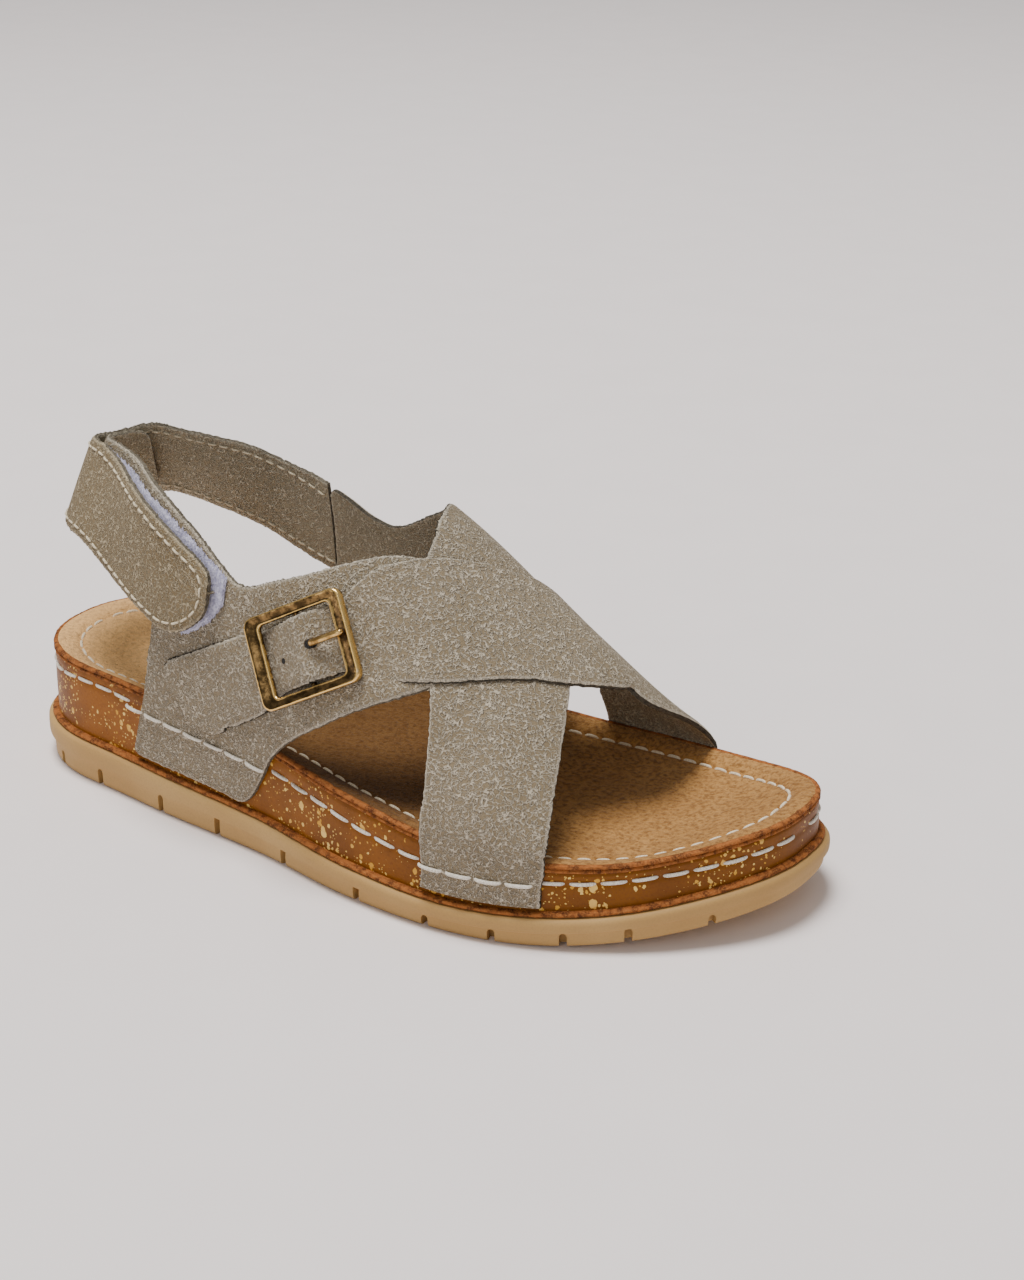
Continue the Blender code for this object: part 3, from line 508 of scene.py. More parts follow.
def buckle_levels():
    """Height of the frame's underside, just over the strap, and of both ends of the bar under it."""
    top = strap_surface(STRAP_THICK)
    window = (BUCKLE_LENGTH / 2 - SIDE_BAR, BUCKLE_WIDTH / 2 - END_BAR)
    under = (np.abs(top[:, 0]) < BUCKLE_LENGTH / 2) & (np.abs(top[:, 1]) < BUCKLE_WIDTH / 2)
    inside = (np.abs(top[:, 0]) < window[0]) & (np.abs(top[:, 1]) < window[1])
    stand = top[under & ~inside, 2].max() + FIT_GAP
    low = strap_surface(0.0)
    ends = []
    for side in (-1, 1):
        away = np.hypot(low[:, 0], low[:, 1] - side * window[1] * 0.85)
        nearest = np.argsort(away)[:12]
        ends.append(float(low[nearest, 2].min()) - CENTRE_BAR_RADIUS - FIT_GAP)
    return float(stand), ends


def rounded_box_loop(length, width, radius, steps):
    out = []
    for cx, cy, start in ((1, 1, 0), (-1, 1, 90), (-1, -1, 180), (1, -1, 270)):
        for step in range(steps + 1):
            angle = math.radians(start + 90 * step / steps)
            out.append(((length / 2 - radius) * cx + radius * math.cos(angle),
                        (width / 2 - radius) * cy + radius * math.sin(angle)))
    return out


# Looks: finer stations, edges and stitching
STATIONS = (1 - np.cos(np.linspace(0.004, math.pi - 0.004, 260))) / 2
EDGE_INSET = (0.0005, 0.0013)
EDGE_DROP = (0.00062, 0.00016)
THREAD_RADIUS = 0.00054
SIDE_DASH = 0.0072
SIDE_GAP = 0.0012
# depth of the side stitching under the rim, by station, in millimetres
SIDE_SEAM = ((0.00, 6.6), (0.06, 6.3), (0.11, 5.0), (0.15, 4.9), (0.22, 5.8), (0.33, 6.4), (0.44, 6.9),
             (0.52, 7.3), (0.58, 8.3), (0.64, 8.5), (0.72, 6.8), (0.80, 5.5), (0.90, 5.1), (0.97, 6.1),
             (1.00, 6.2))
INSOLE_SEAM = 0.0080
# length, gap and thread radius of the finer stitching
INSOLE_STITCH = (0.0040, 0.0012, 0.00046)
SLING_STITCH = (0.0027, 0.0011, 0.00034)
# where the straps' feet lie under the side stitching: side, from and to station
STRAP_FEET = ((-1, 0.655, 0.800), (-1, 0.205, 0.440), (1, 0.272, 0.501), (1, 0.680, 0.832))
RELAX_TIMES = 4
# a cut edge by its number of plies: share of the thickness, and how far it stands out
EDGE_LEVELS = {
    1: ((0.12, 0.00010), (0.50, 0.00022), (0.88, 0.00012)),
    2: ((0.08, 0.00010), (0.28, 0.00016), (0.44, 0.00004), (0.50, -0.00025), (0.56, 0.00004),
        (0.76, 0.00016), (0.94, 0.00008)),
}
# out from the sole's edge, share of the height between tread and lip, and more height
OUTSOLE_PROFILE = (
    (BAND_OUT - 0.0012, 0, 0), (BAND_OUT - 0.0004, 0, 0.0003), (BAND_OUT, 0, 0.0011),
    (BAND_OUT + 0.0001, BAND_SHARE * 0.5, 0), (BAND_OUT, BAND_SHARE, -0.0009),
    (BAND_OUT + 0.0002, BAND_SHARE, -0.0006), (LIP_OUT - 0.0005, BAND_SHARE, -0.0004),
    (LIP_OUT - 0.0001, BAND_SHARE, -0.0001), (LIP_OUT, BAND_SHARE, 0.0005),
    (LIP_OUT, BAND_SHARE + (1 - BAND_SHARE) * 0.5, 0), (LIP_OUT - 0.0001, 1, -0.0011),
    (LIP_OUT - 0.0005, 1, -0.0004), (LIP_OUT - 0.0012, 1, -0.0001), (0.0006, 1, 0),
)
# out from the sole's edge, and up from the lip or from the rim
WELT_PROFILE = ((-0.0004, 0.0003), (LEDGE_OUT - 0.0006, 0.0002), (LEDGE_OUT, 0.0005), (LEDGE_OUT, 0.0009),
                (LEDGE_OUT - 0.0004, 0.0013), (LEDGE_OUT - 0.0012, 0.0015), (-0.0004, 0.0014))
RIM_PROFILE = ((-0.0010, -0.0023), (0.0002, -0.0022), (0.0005, -0.0019), (0.0005, -0.0016),
               (0.0001, -0.0012), (-0.0001, -0.0011), (0.0003, -0.0009), (0.0005, -0.0006),
               (0.0003, -0.0001), (-0.0003, 0.0001), (-0.0012, -0.0001), (-0.0016, -0.0012))
# share across the buckle's bar, height and wear; then its outer and inner corner radius
BUCKLE_PROFILE = ((0.05, 0.0000, 0.2), (0.0, 0.0004, 0.5), (0.0, 0.0017, 0.7), (0.03, 0.0022, 1.0),
                  (0.10, 0.0025, 1.0), (0.18, 0.0025, 0.35), (0.30, 0.00235, 0.0), (0.50, 0.0020, 0.0),
                  (0.70, 0.00165, 0.0), (0.80, 0.00165, 0.35), (0.88, 0.0018, 1.0), (0.95, 0.0016, 1.0),
                  (1.0, 0.0011, 0.6), (1.0, 0.0004, 0.3), (0.95, 0.0000, 0.2))
BUCKLE_ROUND = (0.0030, 0.0014)
# painted reflection: the front bar's brass is made paler, as if it mirrored the light
FRONT_BAR_REFLECTION = 0.28
# a stitch: share of its length, rise and radius as shares of the thread's radius
STITCH_SHAPE = ((0.0, -1.3, 0.62), (0.06, -0.35, 0.86), (0.16, 0.22, 0.98), (0.34, 0.42, 1.0),
                (0.5, 0.48, 1.0), (0.66, 0.42, 1.0), (0.84, 0.22, 0.98), (0.94, -0.35, 0.86),
                (1.0, -1.3, 0.62))
# distances of the footbed's loops from its edge
BED_INSETS = (0.0009, 0.0013, 0.0020, 0.0030, 0.0042, 0.0054, 0.0062, 0.0068, 0.0073, 0.0077, 0.0080,
              0.0083, 0.0087, 0.0092, 0.0098, 0.0108, 0.0120, 0.0135)
# the heel strap's first rows, laid over its seam on the inner quarter
SLING_SEAM = ((0.391, 0.596, 0.888, 0.15), (0.360, 0.615, 0.910, 0.15))
# its inner stitching is hidden from here on by the tapes
SLING_COVERED = -0.020
# creases at the inner heel: way, height and width
CREASES = ((0.0290, 0.00045, 0.0016), (0.0335, -0.00030, 0.0014), (0.0375, 0.00040, 0.0018))
CREASE_LEAN = 0.0022
# painted shade of the punched holes, near black
HOLE_SHADE = (0.012, 0.010, 0.008, 1.0)
# fleck layers of the wrap: scale, squash and seed
FLECKS = ((330.0, 0.75, 0.0), (560.0, 0.9, 0.31), (1000.0, 1.0, 0.7))
FLECK_SIZE = 0.30
# painted shade darkens the footbed between these places along the shoe, where the straps cross over it, and
# painted light makes it palest behind the last
UNDER_STRAPS = (-0.062, -0.018, 0.022, 0.058)
HEEL_END = -0.090


# Meshes

def shift(points):
    return np.asarray(points, float) + ORIGIN


def wave(points, size, seed):
    """Smooth noise between -1 and 1 at points, with features of the given size."""
    flat = np.asarray(points, float).reshape(-1, 3) / size + seed * 7.31
    out = [solid_noise.noise(Vector(p)) for p in flat]
    return np.array(out).reshape(np.asarray(points).shape[:-1])


def link_new(name, data):
    obj = bpy.data.objects.new(name, data)
    bpy.context.scene.collection.objects.link(obj)
    return obj


def finish_mesh(name, points, faces, marks, materials, values=None, angle=40):
    """Object from points and faces; marks give each face its material, values are point attributes."""
    mesh = bpy.data.meshes.new(name)
    mesh.from_pydata([tuple(p) for p in shift(points)], [], [tuple(int(v) for v in f) for f in faces])
    for material in materials:
        mesh.materials.append(material)
    mesh.polygons.foreach_set("material_index", np.asarray(marks, np.int32))
    for key, data in (values or {}).items():
        layer = mesh.attributes.new(key, 'FLOAT', 'POINT')
        layer.data.foreach_set("value", np.asarray(data, np.float32))
    bm = bmesh.new()
    bm.from_mesh(mesh)
    bmesh.ops.remove_doubles(bm, verts=bm.verts, dist=1e-7)
    bmesh.ops.recalc_face_normals(bm, faces=bm.faces)
    bm.to_mesh(mesh)
    bm.free()
    mesh.polygons.foreach_set("use_smooth", np.ones(len(mesh.polygons), bool))
    mesh.set_sharp_from_angle(angle=math.radians(angle))
    return link_new(name, mesh)


def ride(obj, slot, *nodes):
    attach(obj, "root")
    if nodes:
        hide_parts(*nodes)
    return obj


def quads(index):
    a = index[:-1, :-1]
    b = index[1:, :-1]
    c = index[1:, 1:]
    d = index[:-1, 1:]
    return np.stack((a, b, c, d), -1).reshape(-1, 4)


def border_of(rows, columns):
    rim = [(i, 0) for i in range(rows)]
    rim += [(rows - 1, j) for j in range(1, columns)]
    rim += [(i, columns - 1) for i in range(rows - 2, -1, -1)]
    rim += [(0, j) for j in range(columns - 2, 0, -1)]
    return np.array(rim)


def relaxed(grid, times):
    """Softens a grid of points, its border kept."""
    out = grid.copy()
    for _ in range(times):
        inner = out[1:-1, 1:-1]
        mean = (out[:-2, 1:-1] + out[2:, 1:-1] + out[1:-1, :-2] + out[1:-1, 2:]) / 4
        out[1:-1, 1:-1] = inner * 0.5 + mean * 0.5
    return out


def grid_normals(grid, sign):
    along = np.gradient(grid, axis=0)
    across = np.gradient(grid, axis=1)
    normal = np.cross(along, across) * sign
    return normal / np.maximum(np.linalg.norm(normal, axis=-1, keepdims=True), 1e-12)


def end_steps(count, rows):
    """Row positions along a table with close rows at both ends."""
    last = count - 1
    inner = np.linspace(0.16, last - 0.16, rows)
    return np.concatenate(((0, 0.04, 0.10), inner, (last - 0.10, last - 0.04, last)))


def read_table(data, at):
    return smooth_columns(np.arange(len(data), dtype=float), np.asarray(data, float), at)


def strap(name, surface, sign, edges, lifts, thick, finish, rows, step=0.0012, ragged=0.00012,
          seed=1, plies=1, relief=None):
    """A strap's wall with soft cut edges. edges: table rows of both long edges (a, b, a, b)."""
    at = end_steps(len(edges), rows)
    data = read_table(edges, at)
    lift = read_table(np.asarray(lifts, float)[:, None], at)[:, 0]
    first = surface(data[:, 0], data[:, 1])
    second = surface(data[:, 2], data[:, 3])
    width = np.maximum(np.linalg.norm(second - first, axis=1), 0.004)
    count = max(int(np.median(width) / step), 6)
    inner = np.linspace(0, 1, count)[None, :]
    near = [np.zeros(len(width))] + [d / width for d in EDGE_INSET]
    start = 2.2 * EDGE_INSET[1] / width
    middle = start[:, None] + (1 - 2 * start[:, None]) * inner
    share = np.concatenate((np.stack(near, 1), middle, 1 - np.stack(near[::-1], 1)), 1)
    rng = np.random.default_rng(seed)
    for column, side in ((0, 1), (-1, -1)):
        rough = rng.normal(0, ragged, len(width)) / width
        share[:, column] -= side * rough
    a = data[:, 0:1] + (data[:, 2:3] - data[:, 0:1]) * share
    b = data[:, 1:2] + (data[:, 3:4] - data[:, 1:2]) * share
    base = relaxed(surface(a, b), RELAX_TIMES)
    normal = grid_normals(base, 1.0)
    outward = lifted(surface, a, b, 0 * a + 0.001, sign) - surface(a, b)
    if (normal * outward).sum() < 0:
        normal = -normal
    for _ in range(3):
        normal = unit(relaxed(normal, 1))
    high = np.repeat(lift[:, None], share.shape[1], 1)
    if relief is not None:
        high = high + relief(base, a, share)
    drop_across = np.zeros(share.shape[1])
    drop_along = np.zeros(share.shape[0])
    for k, drop in enumerate(EDGE_DROP):
        for axis in (drop_across, drop_along):
            axis[k] = drop
            axis[-1 - k] = drop
    drop = np.maximum(drop_across[None, :], drop_along[:, None])
    low = base + normal * high[..., None]
    top = base + normal * (high + thick - drop)[..., None]
    shape = share.shape
    size = shape[0] * shape[1]
    index = np.arange(size).reshape(shape)
    rim = border_of(*shape)
    inside = (np.clip(rim[:, 0], 1, shape[0] - 2), np.clip(rim[:, 1], 1, shape[1] - 2))
    low_rim = low[rim[:, 0], rim[:, 1]]
    top_rim = top[rim[:, 0], rim[:, 1]]
    away = top_rim - top[inside]
    up = normal[rim[:, 0], rim[:, 1]]
    away -= up * (away * up).sum(1)[:, None]
    away /= np.maximum(np.linalg.norm(away, axis=1), 1e-9)[:, None]
    mids = []
    for t, out in EDGE_LEVELS[plies]:
        rough = rng.normal(0, ragged * 0.5, len(rim))
        mids.append(low_rim * (1 - t) + top_rim * t + away * (out + rough)[:, None])
    points = np.concatenate([low.reshape(-1, 3), top.reshape(-1, 3)] + mids)
    loops = [index[rim[:, 0], rim[:, 1]]]
    for k in range(len(mids)):
        loops.append(2 * size + k * len(rim) + np.arange(len(rim)))
    loops.append(size + index[rim[:, 0], rim[:, 1]])
    faces = [quads(index), quads(size + index)[:, ::-1]]
    marks = [np.full(len(faces[0]), 1), np.zeros(len(faces[1]), int)]
    for below, above in zip(loops, loops[1:]):
        ring = np.stack((below, above, np.roll(above, -1), np.roll(below, -1)), 1)
        faces.append(ring)
        marks.append(np.full(len(ring), 2))
    from_edge = np.minimum(share, 1 - share) * width[:, None] * 1000
    border = np.concatenate((from_edge.ravel(), from_edge.ravel(), np.zeros(len(mids) * len(rim))))
    return finish_mesh(name, points, np.concatenate(faces), np.concatenate(marks), finish,
                       {"border": np.clip(border, 0, 10)}, 50)


def loop_points(offset, high):
    """Points all round the sole's edge; offset and high are numbers or functions of station."""
    halves = []
    for side in (-1, 1):
        x, y, nx, ny = edge_at(way_of(STATIONS, side) * side)
        out = offset(STATIONS) if callable(offset) else offset
        z = high(STATIONS) if callable(high) else np.full(len(STATIONS), high)
        half = np.stack((x + nx * out, y + ny * out, z), -1)
        halves.append(half if side < 0 else half[::-1])
    return np.concatenate(halves)


def cap_grid(loop, columns, high):
    """Grid across the sole inside a loop, at the height that high gives for x and y."""
    half = len(loop) // 2
    outer = loop[:half]
    inner = loop[half:][::-1]
    mix = np.linspace(0, 1, columns)[None, :, None]
    grid = outer[:, None] * (1 - mix) + inner[:, None] * mix
    if high is not None:
        grid[..., 2] = high(grid[..., 0], grid[..., 1])
        grid[:, 0] = outer
        grid[:, -1] = inner
    return grid


def shell(name, loops, caps, materials, marks=None, values=None, angle=40):
    """Body of loops one above the other, closed by a cap grid at either end where given."""
    points = []
    faces = []
    tags = []
    extra = {key: [] for key in (values or {})}
    total = 0
    rings = []
    for k, loop in enumerate(loops):
        points.append(loop)
        rings.append(total + np.arange(len(loop)))
        for key in extra:
            extra[key].append(np.full(len(loop), values[key][k]))
        total += len(loop)
    for k, (low, high) in enumerate(zip(rings, rings[1:])):
        ring = np.stack((low, np.roll(low, -1), np.roll(high, -1), high), 1)
        faces.append(ring)
        tags.append(np.full(len(ring), 0 if marks is None else marks[k]))
    for which, grid in enumerate(caps):
        if grid is None:
            continue
        index = total + np.arange(grid.shape[0] * grid.shape[1]).reshape(grid.shape[:2])
        points.append(grid.reshape(-1, 3))
        faces.append(quads(index))
        tags.append(np.full(len(faces[-1]), 0 if marks is None else marks[-1] * which))
        for key in extra:
            extra[key].append(np.full(grid.shape[0] * grid.shape[1], values[key][-1 * which]))
        total += grid.shape[0] * grid.shape[1]
    joined = {key: np.concatenate(data) for key, data in extra.items()}
    return finish_mesh(name, np.concatenate(points), np.concatenate(faces), np.concatenate(tags),
                       materials, joined, angle)


def half_width(x):
    station = x / SOLE_LENGTH + 0.5
    sizes = section(np.clip(station, 0, 1))
    return sizes[..., 1] * end_round(np.clip(station, 0.0005, 0.9995)), sizes[..., 0]


def footbed(x, y):
    """Height of the dished footbed over the floor."""
    station = np.clip(x / SOLE_LENGTH + 0.5, 0, 1)
    wide, centre = half_width(x)
    share = np.clip(np.abs(y - centre) / np.maximum(wide, 0.002), 0, 1)
    depth = HEEL_DISH + (BALL_DISH - HEEL_DISH) * ease(0.25, 0.60, station)
    ends = np.minimum(ease(0.0, 0.13, station), ease(0.0, 0.16, 1 - station))
    return rim_at(station) - depth * ends * (1 - share ** 4)


def tube(paths, sides, name, materials, slot, nodes=()):
    """Round threads or bars. paths: list of (points, radii, normals)."""
    points = []
    faces = []
    total = 0
    for line, radii, normals in paths:
        line = np.asarray(line, float)
        along = unit(np.gradient(line, axis=0))
        first = unit(normals - along * (normals * along).sum(1)[:, None])
        second = np.cross(along, first)
        angle = 2 * math.pi * np.arange(sides) / sides
        circle = (first[:, None] * np.cos(angle)[None, :, None] +
                  second[:, None] * np.sin(angle)[None, :, None])
        ring = line[:, None] + circle * np.asarray(radii)[:, None, None]
        count = len(line)
        index = total + np.arange(count * sides).reshape(count, sides)
        closed = np.concatenate((index, index[:, :1]), 1)
        points.append(ring.reshape(-1, 3))
        faces.extend(quads(closed).tolist())
        faces.append(index[0].tolist()[::-1])
        faces.append(index[-1].tolist())
        total += count * sides
    obj = finish_mesh(name, np.concatenate(points), faces, np.zeros(len(faces)), materials)
    return ride(obj, slot, *nodes)


def dashes(line, normals, dash, gap, radius, start=0.0):
    """Cuts a line of points into stitches that dive into the surface at both ends."""
    line = np.asarray(line, float)
    way = ways_along(line)
    share, rise, thick = np.array(STITCH_SHAPE).T
    rise = rise * radius
    thick = thick * radius
    out = []
    place = start
    count = 0
    while place + dash < way[-1]:
        spot = place + share * dash
        points = read_line(line, way, spot)
        up = unit(read_line(normals, way, spot))
        wobble = 0.10 * radius * math.sin(count * 2.4)
        side = np.cross(np.gradient(points, axis=0), up)
        side /= np.maximum(np.linalg.norm(side, axis=1), 1e-9)[:, None]
        bend = np.sin(share * math.pi)[:, None]
        out.append((points + up * rise[:, None] + side * wobble * bend, thick, up))
        place += dash + gap
        count += 1
    return out


# Materials

def add(tree, kind, *inputs, **settings):
    made = tree.nodes.new(kind)
    for key, value in settings.items():
        setattr(made, key, value)
    for key, value in inputs:
        if isinstance(value, bpy.types.NodeSocket):
            tree.links.new(value, made.inputs[key])
        else:
            made.inputs[key].default_value = value
    return made


def calc(tree, operation, first, second=0.0):
    return add(tree, "ShaderNodeMath", (0, first), (1, second), operation=operation).outputs[0]


def fit(tree, value, low, high, to_low=0.0, to_high=1.0):
    return add(tree, "ShaderNodeMapRange", ("Value", value), ("From Min", low), ("From Max", high),
               ("To Min", to_low), ("To Max", to_high), interpolation_type='SMOOTHSTEP').outputs[0]


def blend(tree, factor, first, second):
    return add(tree, "ShaderNodeMix", (0, factor), (6, first), (7, second), data_type='RGBA').outputs[2]


def cloud(tree, place, scale, detail=2.0, rough=0.5, twist=0.0):
    return add(tree, "ShaderNodeTexNoise", ("Vector", place), ("Scale", scale), ("Detail", detail),
               ("Roughness", rough), ("Distortion", twist)).outputs[0]


def start_material(name, rough, metallic=0.0, gloss=0.5):
    made = bpy.data.materials.new(name)
    made.use_nodes = True
    tree = made.node_tree
    shader = tree.nodes["Principled BSDF"]
    shader.inputs["Roughness"].default_value = rough
    shader.inputs["Metallic"].default_value = metallic
    shader.inputs["Specular IOR Level"].default_value = gloss
    place = tree.nodes.new("ShaderNodeTexCoord").outputs["Object"]
    return made, tree, shader, place


def set_bump(tree, shader, *layers):
    """layers: (height, depth in metres), one bump on the other."""
    normal = None
    for height, depth in layers:
        inputs = [("Height", height), ("Distance", depth), ("Strength", 1.0)]
        if normal is not None:
            inputs.append(("Normal", normal))
        normal = add(tree, "ShaderNodeBump", *inputs).outputs[0]
    tree.links.new(normal, shader.inputs["Normal"])


def rgb(red, green, blue):
    """Linear colour from display values between 0 and 255."""
    out = []
    for value in (red, green, blue):
        v = value / 255
        out.append(v / 12.92 if v <= 0.04045 else ((v + 0.055) / 1.055) ** 2.4)
    return tuple(out) + (1.0,)


def dark_spots(tree, place, colour, spots, shade_in_hole):
    """Small punched holes: spheres of the given middle and radius, filled with painted shade."""
    for middle, radius in spots:
        away = add(tree, "ShaderNodeVectorMath", (0, place), (1, tuple(middle)),
                   operation='DISTANCE').outputs["Value"]
        mask = fit(tree, away, radius * 0.82, radius * 1.05, 1.0, 0.0)
        colour = blend(tree, mask, colour, shade_in_hole)
    return colour


def vector(tree, operation, first, second):
    return add(tree, "ShaderNodeVectorMath", (0, first), (1, second), operation=operation).outputs[0]


def bent_place(tree, place, scale, detail, reach):
    """The place moved about by noise, so that the pattern on it is uneven."""
    warp = add(tree, "ShaderNodeTexNoise", ("Vector", place), ("Scale", scale), ("Detail", detail))
    moved = vector(tree, 'SUBTRACT', warp.outputs[1], (0.5, 0.5, 0.5))
    moved = add(tree, "ShaderNodeVectorMath", (0, moved), ("Scale", reach), operation='SCALE').outputs[0]
    return vector(tree, 'ADD', place, moved)


def nubuck(name, base, light, dark, worm, depth, spots=()):
    """Napped leather pressed with short worm-like ridges, with painted highlights on the ridges and cut edges
    and painted shade between the ridges.
    """
    made, tree, shader, place = start_material(name, 0.90, gloss=0.14)
    bent = bent_place(tree, place, worm * 0.8, 1.0, 0.9 / worm)
    worms = None
    for scale, seed in ((worm, 0.0), (worm * 1.17, 0.37)):
        first = cloud(tree, vector(tree, 'ADD', bent, (seed, seed, seed)), scale, 0.6, 0.4)
        ridge = calc(tree, 'ABSOLUTE', calc(tree, 'SUBTRACT', first, 0.5))
        lines = fit(tree, ridge, 0.018, 0.066, 1.0, 0.0)
        worms = lines if worms is None else calc(tree, 'MAXIMUM', worms, lines)
    broken = fit(tree, cloud(tree, place, worm * 1.6, 1.0), 0.30, 0.48, 0.25, 1.0)
    worms = calc(tree, 'MULTIPLY', worms, broken)
    grain = cloud(tree, place, worm * 7, 2.0, 0.6)
    large = cloud(tree, place, 34.0, 3.0, 0.55)
    colour = blend(tree, fit(tree, large, 0.30, 0.70, 0.36, 0.10), base, dark)
    colour = blend(tree, fit(tree, grain, 0.34, 0.70, 0.0, 0.40), colour, dark)
    # painted shade in the crevices between the worms, painted highlight on their raised tops
    colour = blend(tree, fit(tree, worms, 0.40, 0.0, 0.0, 0.50), colour, dark)
    colour = blend(tree, calc(tree, 'MULTIPLY', worms, 0.50), colour, light)
    # the nap's paler rim along the cut edges, brightened further as a painted highlight
    edge = add(tree, "ShaderNodeAttribute", attribute_name="border").outputs["Fac"]
    colour = blend(tree, fit(tree, edge, 0.1, 0.8, 0.70, 0.0), colour, light)
    colour = dark_spots(tree, place, colour, spots, HOLE_SHADE)
    tree.links.new(colour, shader.inputs["Base Color"])
    shader.inputs["Sheen Weight"].default_value = 0.12
    shader.inputs["Sheen Roughness"].default_value = 0.5
    height = calc(tree, 'ADD', worms, calc(tree, 'MULTIPLY', grain, 0.20))
    set_bump(tree, shader, (height, depth))
    return made


def layered(name, rough, gloss, colour, layers, bumps, sheen=0.0, shade=None):
    """Material of noise layers over a colour.

    layers: noise settings, from, to, weight and tone. bumps: number of a layer and depth in metres.
    shade: function of tree, place and colour that changes the colour by place.
    """
    made, tree, shader, place = start_material(name, rough, gloss=gloss)
    noises = []
    for settings, low, high, weight, tone in layers:
        noises.append(cloud(tree, place, *settings))
        colour = blend(tree, fit(tree, noises[-1], low, high, 0.0, weight), colour, tone)
    if shade is not None:
        colour = shade(tree, place, colour)
    tree.links.new(colour, shader.inputs["Base Color"])
    shader.inputs["Sheen Weight"].default_value = sheen
    set_bump(tree, shader, *[(noises[which], depth) for which, depth in bumps])
    return made


def footbed_painted_shading(tree, place, colour):
    """Painted shade where the straps cross over the footbed, and painted light that makes it paler at the
    heel.
    """
    along = add(tree, "ShaderNodeSeparateXYZ", (0, place)).outputs[0]
    rear = fit(tree, along, UNDER_STRAPS[0], UNDER_STRAPS[1])
    front = fit(tree, along, UNDER_STRAPS[2], UNDER_STRAPS[3], 1.0, 0.40)
    strap_shadow_paint = calc(tree, 'MULTIPLY', calc(tree, 'MULTIPLY', rear, front), 0.84)
    heel = fit(tree, along, HEEL_END, UNDER_STRAPS[0], 0.35, 0.0)
    # painted shade under the straps
    shaded = blend(tree, strap_shadow_paint, colour, rgb(70, 42, 16))
    # painted pool of light at the heel
    return blend(tree, heel, shaded, rgb(255, 212, 150))


def footbed_suede(name):
    """Napped leather with fine grain, soft clouds of darker tone, and painted shade and light along the shoe.
    """
    dark = rgb(146, 98, 48)
    layers = (((30.0, 3.0, 0.55), 0.3, 0.7, 0.3, dark), ((160.0, 3.0, 0.6), 0.35, 0.72, 0.165, dark),
              ((700.0, 3.0, 0.65), 0.38, 0.70, 0.85, dark))
    bumps = ((2, 0.0013), (1, 0.00078))
    return layered(name, 0.95, 0.10, rgb(232, 175, 104), layers, bumps, 0.10, footbed_painted_shading)


def cut_edge(name, base, dark):
    """Raw cut edge: fibres across the thickness."""
    layers = (((2600.0, 3.0, 0.7), 0.35, 0.68, 1.0, base), ((700.0, 2.0, 0.6), 0.40, 0.75, 0.6, dark))
    return layered(name, 0.95, 0.10, dark, layers, ((0, 0.00022),))


def flecked(name):
    """Orange-brown wrap of the midsole with gold and cream flecks."""
    made, tree, shader, place = start_material(name, 0.45, gloss=0.16)
    split = add(tree, "ShaderNodeSeparateXYZ", (0, place))
    length = fit(tree, split.outputs[0], -0.12, 0.12)
    colour = blend(tree, length, rgb(150, 90, 20), rgb(128, 76, 12))
    large = cloud(tree, place, 60.0, 3.0, 0.6)
    colour = blend(tree, fit(tree, large, 0.35, 0.72, 0.0, 0.65), colour, rgb(104, 58, 14))
    grain = cloud(tree, place, 1300.0, 3.0, 0.7)
    colour = blend(tree, fit(tree, grain, 0.45, 0.75, 0.0, 0.4), colour, rgb(92, 46, 14))
    bent = bent_place(tree, place, 700.0, 2.0, 0.0011)
    patch = fit(tree, cloud(tree, place, 75.0, 1.0), 0.30, 0.54, 0.25, 1.0)
    flecks = None
    for scale, squash, seed in FLECKS:
        squeezed = add(tree, "ShaderNodeMapping", ("Vector", bent), ("Scale", (1.0, 1.0, squash)),
                       ("Location", (seed, seed, seed))).outputs[0]
        cells = add(tree, "ShaderNodeTexVoronoi", ("Vector", squeezed), ("Scale", scale))
        pick = add(tree, "ShaderNodeSeparateColor", (0, cells.outputs["Color"]))
        reach = calc(tree, 'MULTIPLY', calc(tree, 'POWER', pick.outputs[0], 1.9), FLECK_SIZE * 1.5)
        reach = calc(tree, 'MULTIPLY', reach, patch)
        gap = calc(tree, 'SUBTRACT', reach, cells.outputs["Distance"])
        mask = fit(tree, gap, 0.0, 0.035)
        flecks = mask if flecks is None else calc(tree, 'MAXIMUM', flecks, mask)
        tone = blend(tree, pick.outputs[1], rgb(214, 156, 52), rgb(244, 208, 122))
        colour = blend(tree, mask, colour, tone)
    tree.links.new(colour, shader.inputs["Base Color"])
    shader.inputs["Coat Weight"].default_value = 0.03
    shader.inputs["Coat Roughness"].default_value = 0.35
    set_bump(tree, shader, (grain, 0.00008), (flecks, 0.00006))
    return made


# colour darker towards the bottom, within 2.2 mm of the floor
def darker_near_floor(tree, place, colour):
    high = add(tree, "ShaderNodeSeparateXYZ", (0, place)).outputs[2]
    return blend(tree, fit(tree, high, 0.0, 0.0022, 0.35, 0.0), colour, rgb(120, 98, 70))


def rubber(name):
    """Tan moulded rubber, darker where it meets the floor."""
    layers = (((24.0, 3.0, 0.5), 0.3, 0.7, 1.0, rgb(178, 140, 84)),
              ((1700.0, 2.0, 0.6), 0.4, 0.75, 0.18, rgb(140, 112, 76)))
    return layered(name, 0.62, 0.30, rgb(190, 154, 98), layers, ((1, 0.00005),), shade=darker_near_floor)


def raw_rim(name):
    """Raw layered leather edge, orange-brown with dark cracks."""
    layers = (((420.0, 3.0, 0.65), 0.34, 0.62, 1.0, rgb(158, 94, 44)),
              ((2200.0, 2.0, 0.6), 0.45, 0.72, 0.6, rgb(184, 122, 66)))
    return layered(name, 0.75, 0.20, rgb(84, 42, 16), layers, ((0, 0.0004), (1, 0.00012)))


